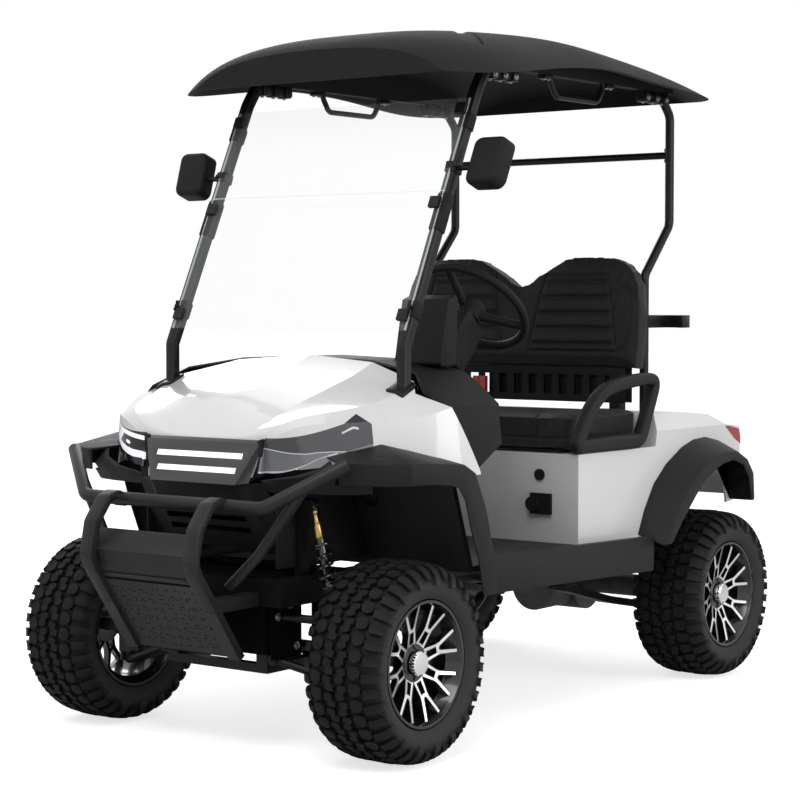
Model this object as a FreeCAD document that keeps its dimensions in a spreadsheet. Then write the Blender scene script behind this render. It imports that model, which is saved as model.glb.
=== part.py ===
import FreeCAD, Part
import math
import os

V = FreeCAD.Vector

# Driving dimensions, in millimetres and degrees. +Z is up, the cart drives towards -Y and its left side is +X.
SIZES = {
    # stance and wheels
    "wheelbase": 1727,
    "axles_middle": 105,
    "half_track": 540,
    "tyre_radius": 280,
    "tyre_width": 240,
    "tread_radius": 266,
    "bead_radius": 176,
    "bead_clearance": 0.5,
    "lug_count": 18,
    "lug_thick": 32,
    "rim_width": 206,
    "rim_wall": 8,
    "rim_lip": 12,
    "spoke_count": 8,
    "spoke_thick": 26,
    "spoke_width": 12,
    "spoke_face_depth": 34,
    "hub_radius": 50,
    "cap_radius": 34,
    "cap_length": 40,
    "stub_radius": 17.5,
    "pin_clearance": 0.5,
    # chassis frame
    "rail_inside": 240,
    "rail_width": 50,
    "rail_height": 75,
    "deck_z": 500,
    "frame_front_y": -955,
    "frame_rear_y": 1235,
    "cross_width": 40,
    "subframe_inside": 150,
    "subframe_width": 40,
    "subframe_z": 225,
    "subframe_plate": 25,
    "subframe_front_y": -895,
    "subframe_rear_y": -620,
    "post_length": 30,
    "tower_width": 22,
    "tower_length": 44,
    "tower_z": 715,
    # front suspension and steering
    "kingpin_x": 480,
    "kingpin_radius": 11,
    "knuckle_low_z": 206,
    "knuckle_high_z": 354,
    "knuckle_size": 40,
    "boss_radius": 24,
    "boss_height": 25,
    "thrust_gap": 1,
    "arm_tube_radius": 12,
    "bush_radius": 15,
    "bush_length": 28,
    "lower_bush_z": 265,
    "upper_bush_z": 388,
    "lower_arm_shift": 14,
    "upper_arm_shift": 2,
    "steer_arm": 80,
    "rack_lead": 4,
    "steer_eye_radius": 24,
    "steer_eye_bore": 13.5,
    "steer_eye_thick": 14,
    "rack_z": 271,
    "rack_radius": 8,
    "rack_housing_radius": 20,
    "rack_housing_half": 150,
    "rod_end_radius": 13,
    "stud_radius": 5,
    "shock_top_x": 290,
    "shock_top_y": -815,
    "shock_top_z": 695,
    "shock_foot_x": 362,
    "shock_eye_radius": 14,
    "shock_eye_length": 32,
    "shock_body_radius": 17,
    "spring_radius": 29,
    "cheek": 5,
    # rear suspension
    "axle_radius": 38,
    "axle_half": 412,
    "drum_radius": 95,
    "drum_length": 58,
    "gearcase_radius": 98,
    "gearcase_length": 170,
    "motor_radius": 85,
    "motor_length": 250,
    "leaf_x": 330,
    "leaf_width": 50,
    "leaf_thick": 24,
    "leaf_front_y": 405,
    "leaf_rear_y": 1215,
    "leaf_eye_z": 352,
    "leaf_eye_radius": 18,
    "hanger_plate": 6,
    "seat_gap": 0.3,
    # front cowl
    "cowl_front_y": -940,
    "cowl_length": 485,
    "cowl_reach": 66,
    "cowl_base_z": 780,
    "cowl_height": 336,
    "cowl_wall": 6,
    "panel_gap": 0.3,
    "face_depth_top": 11,
    "face_depth_low": 23,
    "face_half_top": 222,
    "face_half_low": 190,
    "face_inset_top": 10,
    "face_inset_low": 30,
    "face_drop_top": 8,
    "face_drop_low": 5,
    "face_lean": 31,
    "face_top_z": 884,
    "face_low_z": 765,
    "light_strip": 17,
    "strip_groove": 6,
    "bumper_low_z": 575,
    "bumper_top_z": 880,
    "grille_slots": 3,
    "grille_pitch": 33,
    "grille_slot": 16,
    "grille_half": 150,
    "bumper_wall": 6,
    "grille_first": 44,
    # flares and sills
    "front_flare_y": -925,
    "front_flare_length": 500,
    "front_flare_z": 440,
    "front_flare_height": 390,
    "rear_flare_length": 620,
    "rear_flare_z": 460,
    "rear_flare_height": 350,
    "flare_reach": 98,
    "flare_wall": 6,
    "sill_reach": 40,
    "sill_thick": 24,
    "sill_front_y": -420,
    "sill_rear_y": 501,
    "sill_front_height": 108,
    "sill_rear_height": 112,
    "sill_low_z": 405,
    "sill_rise": 28,
    # floor and dash
    "floor_thick": 17,
    "floor_front_y": -495,
    "toe_board_y": -585,
    "toe_board_z": 770,
    "dash_rear_y": -295,
    "dash_base_z": 858,
    "dash_wall": 6,
    "binnacle_inside_x": 262,
    "binnacle_outside_x": 430,
    "binnacle_top_z": 1290,
    # steering wheel and column
    "wheel_x": 300,
    "wheel_y": -58,
    "wheel_z": 1250,
    "wheel_tilt": 47.2,
    "wheel_ring_radius": 176,
    "wheel_grip": 13,
    "wheel_hub_radius": 45,
    "wheel_hub_depth": 50,
    "wheel_spoke": 26,
    "column_radius": 28,
    "column_length": 760,
    "column_gap": 8,
    "shroud_width": 96,
    "shroud_height": 110,
    "shroud_length": 170,
    # rear body
    "body_half_width": 560,
    "body_front_y": 145,
    "rear_overhang": 236.5,
    "body_height": 415,
    "body_wall": 8,
    "shelf_gap": 14,
    "door_inset": 100,
    "battery_door_front": 205,
    "battery_door_length": 380,
    "bag_inset": 160,
    "bag_setback": 30,
    "bag_length": 400,
    "bag_floor_z": 640,
    "tray_wall": 5,
    "lamp_length": 115,
    "lamp_width": 50,
    "lamp_height": 69,
    "lamp_rise": 271,
    "battery_half_width": 350,
    "battery_length": 390,
    "battery_room": 45,
    # seats
    "seat_inset": 60,
    "hinge_radius": 3.5,
    "hinge_half": 300,
    "seat_front_y": 167,
    "seat_depth": 436,
    "seat_pan_thick": 10,
    "cushion_thick": 104,
    "back_half_width": 455,
    "back_rise": 255,
    "back_height": 355,
    "back_thick": 60,
    "back_front_y": 635,
    "back_lean": 45,
    "bracket_rise": 135,
    "bracket_plate": 6,
    "bracket_y": 650,
    "bracket_post": 40,
    "slot_count": 13,
    "slot_width": 34,
    "slot_height": 66,
    "arm_inset": 28,
    "arm_width": 44,
    "arm_front_y": 125,
    "arm_length": 505,
    "arm_height": 240,
    "arm_bar": 46,
    # canopy structure
    "strut_x": 443,
    "pillar_size": 30,
    "pillar_base_y": -595,
    "pillar_base_z": 990,
    "plate_front": 45,
    "plate_rear": 20,
    "plate_half": 30,
    "plate_thick": 8,
    "pillar_kink_z": 1137,
    "pillar_top_y": -241,
    "pillar_top_z": 1887,
    "rail_z": 1946,
    "pillar_end_y": -35,
    "tube_radius": 15,
    "rear_foot_y": 741,
    "rear_bend_z": 1352,
    "rear_kink_y": 904,
    "rear_kink_z": 1523,
    "rear_top_z": 1889,
    "rear_end_y": 705,
    "crossbar_z": 1758,
    "roof_front_y": -455,
    "roof_length": 1450,
    "roof_half_width": 612,
    "roof_base_z": 1900,
    "roof_height": 210,
    "roof_wall": 10,
    "roof_rail_half": 18,
    "roof_channel": 60,
    "roof_channel_depth": 6,
    "glass_half_width": 446,
    "glass_thick": 5,
    "glass_low": 45,
    "glass_seam": 447,
    "glass_high": 792,
    "seam_gap": 4,
    "clip_length": 34,
    "mirror_x": 568,
    "mirror_y": -353,
    "mirror_z": 1664,
    "mirror_width": 112,
    "mirror_height": 146,
    "mirror_depth": 58,
    "mirror_lean": 20,
    "handle_radius": 9,
    "handle_front_y": 150,
    "handle_length": 305,
    "handle_drop": 62,
    # brush guard
    "guard_half_width": 215,
    "strap_width": 44,
    "strap_thick": 46,
    "guard_front_y": -1234,
    "guard_reach": 184,
    "guard_low_z": 289,
    "guard_height": 440,
    "guard_plate": 6,
    "guard_tube_radius": 19,
    "rack_bar_z": 1199,
    "rack_bar_y": 875,
    "rack_bar_half": 522,
    "rack_bar_height": 42,
    "overrun": 60,
}

SEAT_BASE_SHARE = 0.711

# Sizes that follow from others: the body's width and height set what seats on it.
half_body = SIZES["body_half_width"]
SIZES.update({
    "cowl_half_width": half_body + SIZES["cowl_reach"],
    "sill_inside_x": half_body + SIZES["sill_reach"],
    "flare_lip_x": half_body + SIZES["flare_reach"],
    "seat_half_width": half_body - SIZES["seat_inset"],
    "arm_inside_x": half_body - SIZES["arm_inset"],
    "battery_door_half": half_body - SIZES["door_inset"],
    "bag_half_width": half_body - SIZES["bag_inset"],
    "seat_base_z": SIZES["deck_z"] + SEAT_BASE_SHARE * SIZES["body_height"],
    "battery_height": SEAT_BASE_SHARE * SIZES["body_height"] - SIZES["battery_room"],
})
SIZES.update({
    "back_low_z": SIZES["seat_base_z"] + SIZES["back_rise"],
    "bracket_low_z": SIZES["seat_base_z"] + SIZES["bracket_rise"],
    "arm_base_z": SIZES["seat_base_z"] + SIZES["seat_gap"],
})

# Outline tables, in shares of the length and the height, or the half width and the height, that each follows.
NOSE_SHARES = [(0.0, 0.31), (-0.0628, -0.04), (-0.0628, -0.045), (0.01, -0.045), (0.01, 0.3)]
NOSE_HOLLOW_SHARES = [(0.0095, 0.29), (-0.0543, -0.063), (0.03, -0.063), (0.03, 0.29)]
NOSE_HALF_SHARE = 0.361
COWL_STATION_SHARES = [0.0, 0.093, 0.299, 0.588, 1.0]
COWL_SECTION_SHARES = [
    [(0.0, 0.31), (0.176, 0.31), (0.319, 0.307), (0.361, 0.268), (0.371, 0.0)],
    [(0.0, 0.411), (0.288, 0.435), (0.5, 0.5), (0.59, 0.45), (0.61, 0.0)],
    [(0.0, 0.577), (0.351, 0.589), (0.62, 0.56), (0.745, 0.45), (0.775, 0.0)],
    [(0.0, 0.762), (0.399, 0.75), (0.703, 0.661), (0.903, 0.506), (0.93, 0.0)],
    [(0.0, 1.0), (0.399, 0.976), (0.703, 0.887), (0.942, 0.61), (1.0, 0.0)],
]
CABIN_EDGE_SHARES = [(1.2, 1.3), (0.99, 1.05), (0.979, 0.994), (0.701, 0.679), (0.944, 0.03), (0.969, -0.3),
                     (1.2, -0.3)]
DASH_SECTION_SHARES = [(0.0, 0.965), (0.399, 0.94), (0.703, 0.85), (0.93, 0.57), (0.985, 0.03)]
LAMP_EDGE_SHARES = [(-0.3, -0.045), (-0.064, -0.045), (0.093, 0.17), (0.32, 0.292)]
LAMP_TOP_SHARES = [(0.32, 0.527), (0.186, 0.446), (0.072, 0.372), (-0.027, 0.3125), (-0.3, 0.3125)]
STRIP_SHARES = [(0.319, 0.85), (0.664, 0.78)]
BUMPER_LEVEL_SHARES = [1.0, 0.705, 0.0]
BUMPER_OUTLINE_SHARES = [
    [(0.0, -0.006), (0.255, -0.006), (0.33, -0.006), (0.615, 0.072), (0.693, 0.181), (0.75, 0.258), (0.8, 0.32)],
    [(0.0, -0.136), (0.255, -0.136), (0.303, -0.083), (0.64, 0.01), (0.751, 0.052), (0.8, 0.103), (0.83, 0.206)],
    [(0.0, 0.103), (0.25, 0.103), (0.29, 0.12), (0.527, 0.186), (0.64, 0.258), (0.69, 0.31), (0.727, 0.392)],
]
FRONT_FLARE_ATTACH_SHARES = [(0.590, 0.090, 1.035), (0.653, 0.180, 1.076), (0.745, 0.316, 1.12),
                             (0.795, 0.414, 1.085), (0.875, 0.578, 1.021), (0.897, 0.690, 0.969),
                             (0.912, 0.800, 0.859), (0.912, 0.884, 0.618), (0.912, 0.964, 0.295),
                             (0.912, 1.008, 0.0)]
FRONT_FLARE_CREASE_SHARES = [(0.714, 0.0, 1.005), (0.897, 0.090, 1.005), (0.976, 0.200, 1.0),
                             (1.0, 0.340, 0.992), (1.0, 0.540, 0.977), (1.0, 0.652, 0.962),
                             (1.0, 0.756, 0.895), (1.0, 0.864, 0.618), (1.0, 0.940, 0.295),
                             (1.0, 0.984, 0.0)]
FRONT_FLARE_OPENING_SHARES = [(0.714, 0.008, 0.846), (0.894, 0.100, 0.844), (0.973, 0.212, 0.846),
                              (1.0, 0.348, 0.846), (1.0, 0.506, 0.828), (1.0, 0.600, 0.800),
                              (1.0, 0.660, 0.705), (1.0, 0.710, 0.513), (1.0, 0.790, 0.269),
                              (1.0, 0.840, 0.0)]
REAR_FLARE_SHARE = 0.7476
REAR_FLARE_ATTACH_SHARES = [(0.0, 0.163), (0.065, 0.389), (0.161, 0.614), (0.29, 0.786),
                            (0.456, 0.926), (0.582, 0.986), (0.71, 1.0), (0.855, 0.957),
                            (0.944, 0.814), (0.992, 0.6), (1.0, 0.371)]
REAR_FLARE_CREASE_SHARES = [(0.0, 0.083), (0.113, 0.314), (0.21, 0.486), (0.313, 0.623),
                         (0.419, 0.743), (0.521, 0.831), (0.671, 0.871), (0.802, 0.857),
                         (0.915, 0.771), (0.987, 0.629), (1.0, 0.371)]
REAR_FLARE_OPENING_SHARES = [(0.089, 0.083), (0.194, 0.271), (0.274, 0.394), (0.355, 0.514),
                             (0.439, 0.626), (0.548, 0.709), (0.65, 0.763), (0.76, 0.78),
                             (0.871, 0.72), (0.935, 0.586), (0.965, 0.371)]
ROOF_STATION_SHARES = [0.0, 0.055, 0.248, 0.49, 0.75, 0.938, 1.0]
ROOF_SECTION_SHARES = [
    [(0.0, 0.548), (0.384, 0.495), (0.654, 0.31), (0.768, 0.119)],
    [(0.0, 0.738), (0.474, 0.667), (0.817, 0.357), (0.94, 0.086)],
    [(0.0, 0.929), (0.498, 0.867), (0.866, 0.524), (0.997, 0.238)],
    [(0.0, 1.0), (0.498, 0.943), (0.866, 0.619), (1.0, 0.362)],
    [(0.0, 0.881), (0.498, 0.819), (0.866, 0.5), (1.0, 0.252)],
    [(0.0, 0.667), (0.474, 0.61), (0.817, 0.357), (0.964, 0.181)],
    [(0.0, 0.5), (0.408, 0.457), (0.686, 0.295), (0.817, 0.19)],
]
DECK_SHARES = [(0.037, 0.98), (0.415, 0.952), (0.64, 0.923), (0.828, 0.83), (0.985, 0.805), (1.0, 0.24),
               (0.932, 0.2), (-0.25, 0.0)]
BODY_HOLLOW_SHARES = [(1, -1), (1, -1), (1, -1), (1, -1), (0, -1), (0, -1), (0, -1), (-1, -1), (-1, -2), (-1, -2),
                      (0, -1)]
TAIL_LAMP_SHARES = [(0.0, 0.99), (0.3, 0.97), (0.6, 0.88), (0.91, 0.77), (1.0, 0.4), (1.0, 0.0), (0.61, 0.3),
                    (0.3, 0.65)]
BODY_SECTION_SHARES = [(1.0, 0.0), (1.0, 0.83), (0.965, 0.96), (0.9, 1.0)]
BACK_OUTLINE_SHARES = [(0.98, 0.0), (1.0, 0.3), (0.97, 0.5), (0.88, 0.74), (0.8, 0.86), (0.66, 0.96),
                       (0.5, 0.99), (0.36, 0.96), (0.2, 0.86), (0.1, 0.79), (0.0, 0.765)]
ARM_OUTLINE_SHARES = [(0.0, 0.06), (0.0, 0.14), (0.21, 0.9), (0.27, 0.93), (0.97, 1.0), (1.0, 0.92), (0.9, 0.24),
                      (0.78, 0.03), (0.74, 0.0), (0.04, 0.0)]
STRAP_SHARES = [(0.75, 0.93), (0.58, 1.0), (0.36, 0.97), (0.1, 0.83), (0.0, 0.63), (0.08, 0.55), (0.95, 0.03),
                (1.0, 0.0)]
PLATE_SHARES = [(0.24, 0.786), (0.05, 0.66), (0.1, 0.59), (0.16, 0.5), (0.98, 0.0)]
LUG_PROFILE_SHARES = [(0.4, 0.93), (0.4, 1.0), (0.86, 0.99), (1.0, 0.86), (0.9, 0.8)]
TYRE_PROFILE_SHARES = [(0.79, 0.0), (0.99, 0.45), (0.82, 1.0)]
LEAF_SHARES = [(0.0, 1.0), (0.34, 0.36), (0.6, 0.0), (0.78, 0.0), (0.9, 0.3), (1.0, 1.0)]
ROOF_CHANNEL_SHARES = [(0.763, 0.116), (0.0, 0.461)]

doc = FreeCAD.newDocument("GolfCart")
sheet = doc.addObject("Spreadsheet::Sheet", "Dims")
for row, (alias, size) in enumerate(SIZES.items(), start=1):
    sheet.set("A%d" % row, alias)
    sheet.set("B%d" % row, str(size))
    sheet.setAlias("B%d" % row, alias)
doc.recompute()

nodes = []


def mm(alias):
    """One size of the sheet."""
    return float(sheet.get(alias))


def node(thing, label):
    """Marks a document object as one sub-part of the cart."""
    thing.Label = label
    nodes.append(thing)
    return thing


def spread(shares, start, base, length, height):
    """Turns a table of shares into points."""
    return [(start + along * length, base + up * height) for along, up in shares]


def both_sides(half):
    """A half outline, from the middle outwards or inwards, completed by its mirror image."""
    other = [(-x, z) for x, z in reversed(half) if x != 0]
    return half + other


def corner_edges(points, radius=0):
    """Straight sides of a closed outline, with every corner rounded as far as its sides allow."""
    corners = [V(x, y, 0) for x, y in points]
    count = len(corners)
    cuts = []
    for i, corner in enumerate(corners):
        before = corners[i - 1] - corner
        after = corners[(i + 1) % count] - corner
        half = before.getAngle(after) / 2
        reach = min(radius / math.tan(half), before.Length * 0.45, after.Length * 0.45) if radius else 0
        turn = reach * math.tan(half)
        first = corner + V(before).normalize() * reach
        last = corner + V(after).normalize() * reach
        middle = (V(before).normalize() + V(after).normalize())
        if radius and middle.Length > 1e-6:
            middle.normalize()
            centre = corner + middle * math.hypot(turn, reach)
            cuts.append((first, centre - middle * turn, last))
        else:
            cuts.append((corner, None, corner))
    edges = []
    for i, (first, middle, last) in enumerate(cuts):
        if middle is not None:
            edges.append(Part.Arc(first, middle, last))
        following = cuts[(i + 1) % count][0]
        if (following - last).Length > 1e-6:
            edges.append(Part.LineSegment(last, following))
    return edges


def sketch_on(body, role, loops):
    """A sketch of closed loops on one of the body's own planes."""
    sketch = body.newObject("Sketcher::SketchObject", body.Name + "_outline")
    plane = next(f for f in body.Origin.OriginFeatures if f.Role == role)
    sketch.AttachmentSupport = (plane, [""])
    sketch.MapMode = "FlatFace"
    for loop in loops:
        for edge in loop:
            sketch.addGeometry(edge, False)
    return sketch


def prism(name, role, loops, length, place=None, middle=False):
    """A body padded from an outline by a length of the sheet, and put at places of the sheet."""
    body = doc.addObject("PartDesign::Body", name)
    pad = body.newObject("PartDesign::Pad", name + "_pad")
    pad.Profile = sketch_on(body, role, loops)
    pad.Midplane = middle
    pad.setExpression("Length", length)
    for axis, expression in (place or {}).items():
        body.setExpression("Placement.Base." + axis, expression)
    return body


def block(name, size, place):
    """A box whose sizes and place are expressions on the sheet."""
    box = doc.addObject("Part::Box", name)
    for side, expression in zip(("Length", "Width", "Height"), size):
        box.setExpression(side, expression)
    for axis, expression in zip("xyz", place):
        box.setExpression("Placement.Base." + axis, expression)
    return box


def feature(name, shape):
    """A shape made by formula, with its place in its geometry."""
    thing = doc.addObject("Part::Feature", name)
    thing.Shape = shape
    return thing


def fuse(name, *things):
    """One solid from several that overlap."""
    joined = doc.addObject("Part::MultiFuse", name)
    joined.Shapes = list(things)
    joined.Refine = True
    return joined


def cut(name, thing, *tools):
    """A solid with others taken out of it."""
    for number, tool in enumerate(tools):
        taken = doc.addObject("Part::Cut", "%s_%d" % (name, number))
        taken.Base = thing
        taken.Tool = tool
        thing = taken
    return thing


def mirrored(name, thing):
    """The other side's copy of a solid."""
    copy = doc.addObject("Part::Mirroring", name)
    copy.Source = thing
    copy.Normal = V(1, 0, 0)
    return copy


def group(name, *things):
    """Solids that don't touch, kept as one sub-part."""
    together = doc.addObject("Part::Compound", name)
    together.Links = list(things)
    return together


def pair(label, thing):
    """A left piece and its right twin as one sub-part."""
    return node(group(label, thing, mirrored(label + "_right", thing)), label)


def bent_path(points, bend):
    """Straight runs joined by tangent arcs."""
    edges = []
    start = points[0]
    for before, corner, after in zip(points, points[1:], points[2:]):
        inward = V(before - corner).normalize()
        outward = V(after - corner).normalize()
        half = inward.getAngle(outward) / 2
        reach = min(bend / math.tan(half), (before - corner).Length * 0.45, (after - corner).Length * 0.45)
        radius = reach * math.tan(half)
        middle = (inward + outward).normalize()
        centre = corner + middle * math.hypot(radius, reach)
        first = corner + inward * reach
        last = corner + outward * reach
        edges.append(Part.LineSegment(start, first).toShape())
        edges.append(Part.Arc(first, centre - middle * radius, last).toShape())
        start = last
    edges.append(Part.LineSegment(start, points[-1]).toShape())
    return Part.Wire(edges)


def tube(points, radius, bend):
    """A round bar along a bent path."""
    path = bent_path(points, bend)
    circle = Part.Wire(Part.makeCircle(radius, points[0], points[1] - points[0]))
    return path.makePipeShell([circle], True, False)


def square_bar(points, width, depth, bend):
    """A rectangular bar whose path stays in a plane of constant X."""
    path = bent_path(points, bend)
    along = V(points[1] - points[0]).normalize()
    side = V(1, 0, 0)
    rise = along.cross(side)
    start = points[0]
    shape = [start + side * (sx * width / 2) + rise * (sy * depth / 2)
             for sx, sy in ((-1, -1), (1, -1), (1, 1), (-1, 1), (-1, -1))]
    return path.makePipeShell([Part.makePolygon(shape)], True, False)


def section_wire(half, y, smooth):
    """A closed cross-section at one station: a curved top and a flat underside."""
    right = [V(-x, y, z) for x, z in reversed(half) if x != 0]
    left = [V(x, y, z) for x, z in half]
    points = right + left
    if smooth:
        curve = Part.BSplineCurve()
        curve.interpolate(points)
        top = [curve.toShape()]
    else:
        top = [Part.LineSegment(a, b).toShape() for a, b in zip(points, points[1:])]
    return Part.Wire(top + [Part.LineSegment(points[-1], points[0]).toShape()])


def side_prism(name, points, inside, outside, radius=0):
    """A solid with an outline in the side view, between two planes of constant X."""
    edges = corner_edges(points, radius)
    wire = Part.Wire([edge.toShape() for edge in edges])
    turned = FreeCAD.Placement(V(inside, 0, 0), FreeCAD.Rotation(V(1, 1, 1), 120))
    wire.Placement = turned
    return feature(name, Part.Face(wire).extrude(V(outside - inside, 0, 0)))


front_axle_y = mm("axles_middle") - mm("wheelbase") / 2
rear_axle_y = mm("axles_middle") + mm("wheelbase") / 2


# wheels

def flat_ring(profile, count):
    """A ring of flat facets: a profile in the XZ plane carried round the X axis in equal steps."""
    step = 360.0 / count
    faces = []
    rings = []
    for number in range(count):
        turn = FreeCAD.Rotation(V(1, 0, 0), step * (number - 0.5))
        rings.append([turn.multVec(V(x, 0, r / math.cos(math.radians(step / 2)))) for x, r in profile])
    for ring, following in zip(rings, rings[1:] + rings[:1]):
        for i, point in enumerate(ring):
            j = (i + 1) % len(ring)
            corners = [point, ring[j], following[j], following[i], point]
            faces.append(Part.Face(Part.makePolygon(corners)))
    shell = Part.makeShell(faces)
    shell.sewShape()
    solid = Part.Solid(shell)
    if solid.Volume < 0:
        solid.reverse()
    return solid


def tyre_shape():
    """Faceted carcass round the wheel's axis, with chunky shoulder lugs fused to it."""
    half = mm("tyre_width") / 2
    low = mm("bead_radius")
    rise = mm("tread_radius") - low
    count = int(mm("lug_count"))
    outer = [(half * a, low + rise * b) for a, b in TYRE_PROFILE_SHARES]
    carcass = flat_ring(outer + [(-x, r) for x, r in reversed(outer)], 2 * count)
    reach = mm("tyre_radius")
    profile = [V(half * a, -mm("lug_thick") / 2, reach * b) for a, b in LUG_PROFILE_SHARES]
    lug = Part.Face(Part.makePolygon(profile + profile[:1])).extrude(V(0, mm("lug_thick"), 0))
    lugs = []
    for number in range(count):
        turned = lug.copy()
        turned.rotate(V(), V(1, 0, 0), 360.0 * number / count)
        lugs.append(turned)
        other = lug.mirror(V(), V(1, 0, 0))
        other.rotate(V(), V(1, 0, 0), 360.0 * (number + 0.5) / count)
        lugs.append(other)
    return carcass.multiFuse(lugs).removeSplitter()


def rim_shape():
    """Barrel with two lips, split spokes and a hub with its bore and cap."""
    radius = mm("bead_radius") - mm("bead_clearance")
    half = mm("rim_width") / 2
    wall = mm("rim_wall")
    inner = radius - mm("rim_lip") - wall
    barrel = Part.makeCylinder(radius, 2 * half, V(-half, 0, 0), V(1, 0, 0)).cut(
        Part.makeCylinder(inner, 2 * half, V(-half, 0, 0), V(1, 0, 0)))
    face = half - mm("spoke_face_depth")
    thick = mm("spoke_thick")
    hub = mm("hub_radius")
    bore = mm("stub_radius") + mm("pin_clearance")
    width = mm("spoke_width")
    start = hub * 0.9
    fork = inner * 0.62
    tip = inner + wall / 2
    spread_y = tip * math.tan(math.radians(90.0 / mm("spoke_count")))
    spokes = []
    for side in (-1, 1):
        stem = [V(face - thick, side * width * 0.45, start), V(face - thick, side * width * 1.45, start),
                V(face - thick, side * width * 1.1, fork), V(face - thick, side * width * 0.1, fork)]
        prong = [V(face - thick, side * width * 0.1, fork), V(face - thick, side * width * 1.1, fork),
                 V(face - thick, side * (spread_y / 2 + width), tip), V(face - thick, side * spread_y / 2, tip)]
        for outline in (stem, prong):
            spokes.append(Part.Face(Part.makePolygon(outline + outline[:1])).extrude(V(thick, 0, 0)))
    bridge = Part.makeBox(thick, width * 2.2, width * 1.2, V(face - thick, -width * 1.1, fork - width))
    spokes.append(bridge)
    one = spokes[0].multiFuse(spokes[1:])
    count = int(mm("spoke_count"))
    arms = []
    for number in range(count):
        turned = one.copy()
        turned.rotate(V(), V(1, 0, 0), 360.0 * (number + 0.5) / count)
        arms.append(turned)
    centre = Part.makeCylinder(hub, half, V(face - half, 0, 0), V(1, 0, 0))
    cap = Part.makeCylinder(mm("cap_radius"), mm("cap_length"), V(face - 1, 0, 0), V(1, 0, 0))
    spindle_room = Part.makeCylinder(bore, half, V(face - half, 0, 0), V(1, 0, 0))
    return barrel.multiFuse(arms + [centre, cap]).cut(spindle_room)


def place_wheel(name, shape, corner, side, axle_y):
    """One wheel piece put on its spindle, with the dished face outwards."""
    piece = feature(name + corner, shape)
    turn = 0 if side > 0 else 180
    place = V(side * mm("half_track"), axle_y, mm("tyre_radius"))
    piece.Placement = FreeCAD.Placement(place, FreeCAD.Rotation(V(0, 0, 1), turn))
    return node(piece, name + corner)


def make_wheels():
    """Four tyres and four rims."""
    tyre = tyre_shape()
    rim = rim_shape()
    for corner, side, axle_y in (("front_left", 1, front_axle_y), ("front_right", -1, front_axle_y),
                                 ("rear_left", 1, rear_axle_y), ("rear_right", -1, rear_axle_y)):
        place_wheel("tyre_", tyre, corner, side, axle_y)
        place_wheel("rim_", rim, corner, side, axle_y)


# chassis and running gear

def make_frame():
    """Two rails with cross members, the front subframe, the shock towers and the spring hangers."""
    parts = []
    length = "Dims.frame_rear_y - Dims.frame_front_y"
    low = "Dims.deck_z - Dims.rail_height"
    rail = block("rail", ("Dims.rail_width", length, "Dims.rail_height"),
                 ("Dims.rail_inside", "Dims.frame_front_y", low))
    parts += [rail, mirrored("rail_right", rail)]
    span = "2 * (Dims.rail_inside + Dims.rail_width)"
    left_end = "-(Dims.rail_inside + Dims.rail_width)"
    front_post_y = "Dims.subframe_front_y"
    rear_post_y = "Dims.subframe_rear_y - Dims.post_length"
    for number, start in enumerate(("Dims.frame_front_y", front_post_y, rear_post_y, "Dims.body_front_y",
                                    "Dims.leaf_front_y + Dims.cross_width",
                                    "Dims.frame_rear_y - Dims.cross_width")):
        parts.append(block("cross_%d" % number, (span, "Dims.cross_width", "Dims.rail_height"),
                           (left_end, start, low)))
    sub = block("subframe", ("Dims.subframe_width", "Dims.subframe_rear_y - Dims.subframe_front_y",
                             "Dims.subframe_plate"),
                ("Dims.subframe_inside", "Dims.subframe_front_y", "Dims.subframe_z"))
    parts += [sub, mirrored("subframe_right", sub)]
    for number, start in enumerate((front_post_y, rear_post_y)):
        post = block("post_%d" % number,
                     ("Dims.subframe_width", "Dims.post_length", "Dims.deck_z - Dims.subframe_z"),
                     ("Dims.subframe_inside", start, "Dims.subframe_z"))
        parts += [post, mirrored("post_%d_right" % number, post)]
    tie = block("subframe_tie", ("2 * Dims.subframe_inside", "Dims.post_length", "Dims.subframe_plate"),
                ("-Dims.subframe_inside", front_post_y, "Dims.subframe_z"))
    parts.append(tie)
    parts += shock_towers()
    parts += spring_hangers()
    node(fuse("frame", *parts), "frame")


def shock_towers():
    """A post on each rail with two cheeks round the shock absorber's top eye."""
    post_height = mm("shock_top_z") - mm("deck_z") - 3 * mm("shock_eye_radius")
    top = mm("shock_top_y")
    half = mm("tower_length") / 2
    post = Part.makeBox(mm("tower_width"), 2 * half, post_height, V(mm("rail_inside"), top - half, mm("deck_z")))
    gap = mm("shock_eye_length") / 2 + mm("seat_gap")
    cheeks = []
    for side in (-1, 1):
        inner = top + side * gap
        outer = top + side * (gap + mm("cheek"))
        low = mm("deck_z") + post_height - mm("shock_eye_radius")
        reach = mm("shock_top_x") + mm("shock_eye_radius") - mm("rail_inside")
        cheeks.append(Part.makeBox(reach, mm("cheek"), mm("tower_z") - low,
                                   V(mm("rail_inside"), min(inner, outer), low)))
    web = Part.makeBox(mm("cheek"), 2 * (gap + mm("cheek")), mm("tower_z") - mm("deck_z") - post_height,
                       V(mm("rail_inside"), top - gap - mm("cheek"), mm("deck_z") + post_height))
    tower = feature("tower", post.multiFuse(cheeks + [web]))
    return [tower, mirrored("tower_right", tower)]


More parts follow.
